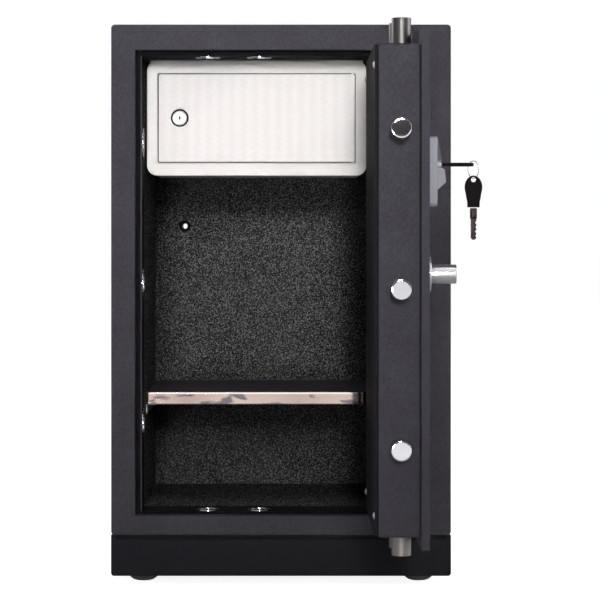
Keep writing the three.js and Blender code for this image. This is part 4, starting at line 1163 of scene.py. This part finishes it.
def ray_kinds(graph):
    """Whether a ray is the camera's, whether it is a reflection, and whether it is that or goes through."""
    path = graph.node("ShaderNodeLightPath").outputs
    glossy = path["Is Glossy Ray"]
    return path["Is Camera Ray"], glossy, graph.most(glossy, path["Is Transmission Ray"])


def make_world():
    scene.world = bpy.data.worlds.new("studio")
    graph = Graph(scene.world)
    direct, reflected, passed_on = ray_kinds(graph)
    across, away, up = graph.parts(graph.node("ShaderNodeTexCoord").outputs["Generated"])
    above = graph.span(up, *ABOVE_FLOOR)
    room = graph.mix(graph.span(across, *ROOM_BLEND), linear(ROOM_LEFT), linear(ROOM_RIGHT))
    for low, high in ROOM_STRIPS:
        strip = graph.times(graph.span(across, low, low + STRIP_EDGE),
                            graph.span(across, high, high - STRIP_EDGE))
        room = graph.mix(graph.times(strip, STRIP_SHARE), room, WHITE)
    soft_box = graph.times(*[graph.span(up, *edge, 0, 1, True) for edge in SOFT_BOX])
    room = graph.mix(soft_box, room, WHITE)
    unlit = graph.most(graph.times(graph.span(away, *AHEAD), above), graph.span(up, *OVERHEAD))
    sky = graph.mix(graph.times(reflected, above), WHITE, linear(SKY_REFLECTED))
    sky = graph.mix(graph.times(unlit, reflected), sky, room)
    seen = graph.node("ShaderNodeBackground", None, Color=sky, Strength=1.0)
    dim = (SKY_SHADE, SKY_SHADE, SKY_SHADE, 1)
    shade = graph.node("ShaderNodeBackground", None, Color=dim, Strength=1.0)
    both = graph.node("ShaderNodeMixShader", None, Fac=graph.most(direct, passed_on))
    graph.put(both, "1", shade.outputs[0])
    graph.put(both, "2", seen.outputs[0])
    graph.node("ShaderNodeOutputWorld", None, Surface=both.outputs[0])


def floor_material():
    graph = material_graph("floor_white")
    direct, _, passed_on = ray_kinds(graph)
    away = graph.node("ShaderNodeVectorMath", {"operation": "LENGTH"}, Vector=graph.place()).outputs["Value"]
    # Painted shade: the floor's glow, as metals see it, is weak near the safe
    far = graph.span(away, *DULL_FLOOR, DULL_SHARE, 1.0, True)
    glowing = graph.times(graph.most(direct, graph.times(far, passed_on)), FLOOR_WHITE)
    grey = graph.mix(graph.span(graph.noise(FLOOR_CELL, 2), *WIDE, *FLOOR_GREY), BLACK, WHITE)
    matt = graph.node("ShaderNodeBsdfDiffuse", None, Color=grey)
    glow = graph.node("ShaderNodeEmission", None, Color=WHITE, Strength=glowing)
    both = graph.node("ShaderNodeAddShader")
    graph.put(both, "0", matt.outputs[0])
    graph.put(both, "1", glow.outputs[0])
    graph.node("ShaderNodeOutputMaterial", None, Surface=both.outputs[0])
    return graph.owner


def make_floor():
    bm = bmesh.new()
    half = FLOOR_SIZE / 2
    bm.faces.new([bm.verts.new((x * half, y * half, 0)) for x, y in ((-1, -1), (1, -1), (1, 1), (-1, 1))])
    mesh = bpy.data.meshes.new("floor")
    bm.to_mesh(mesh)
    bm.free()
    mesh.materials.append(floor_material())
    floor = link("floor", mesh)


LAMPS = {  # each one's place, what it points at, width and height, power, and spread in degrees
    "front_lamp": ((0.27, -6, 1.77), (-0.05, 0, 0.85), (0.54, 1.08), 5.1, 24),
    "low_lamp": ((-0.55, -6, 0.3), (0, 0, 0.5), (0.4, 0.4), 1.1, 28),
    "high_lamp": ((0.25, -1.5, 2.0), (0.1, 0, 0.6), (1.2, 0.4), 3, 180),
    "top_lamp": ((0, -1.0, 2.6), (0, -0.2, 0.7), (1.8, 0.2), 8, 180),
    "left_lamp": ((-3.4, 3.4, 1.8), (0, 0.1, 0.4), (2.5, 2.5), 110, 180),
    "right_lamp": ((4.5, 0.4, 1.8), (0, 0, 0.4), (2.5, 2.5), 130, 180),
}


def make_lamp(name, place, target, size, power, spread):
    data = bpy.data.lights.new(name, "AREA")
    data.shape = "RECTANGLE"
    data.size, data.size_y = size
    data.energy = power
    data.spread = math.radians(spread)
    lamp = bpy.data.objects.new(name, data)
    lamp.location = place
    lamp.rotation_euler = (Vector(target) - Vector(place)).to_track_quat("-Z", "Y").to_euler()
    scene.collection.objects.link(lamp)


make_world()
make_floor()
for lamp_name, lamp_settings in LAMPS.items():
    make_lamp(lamp_name, *lamp_settings)

scene.view_settings.view_transform = "Standard"
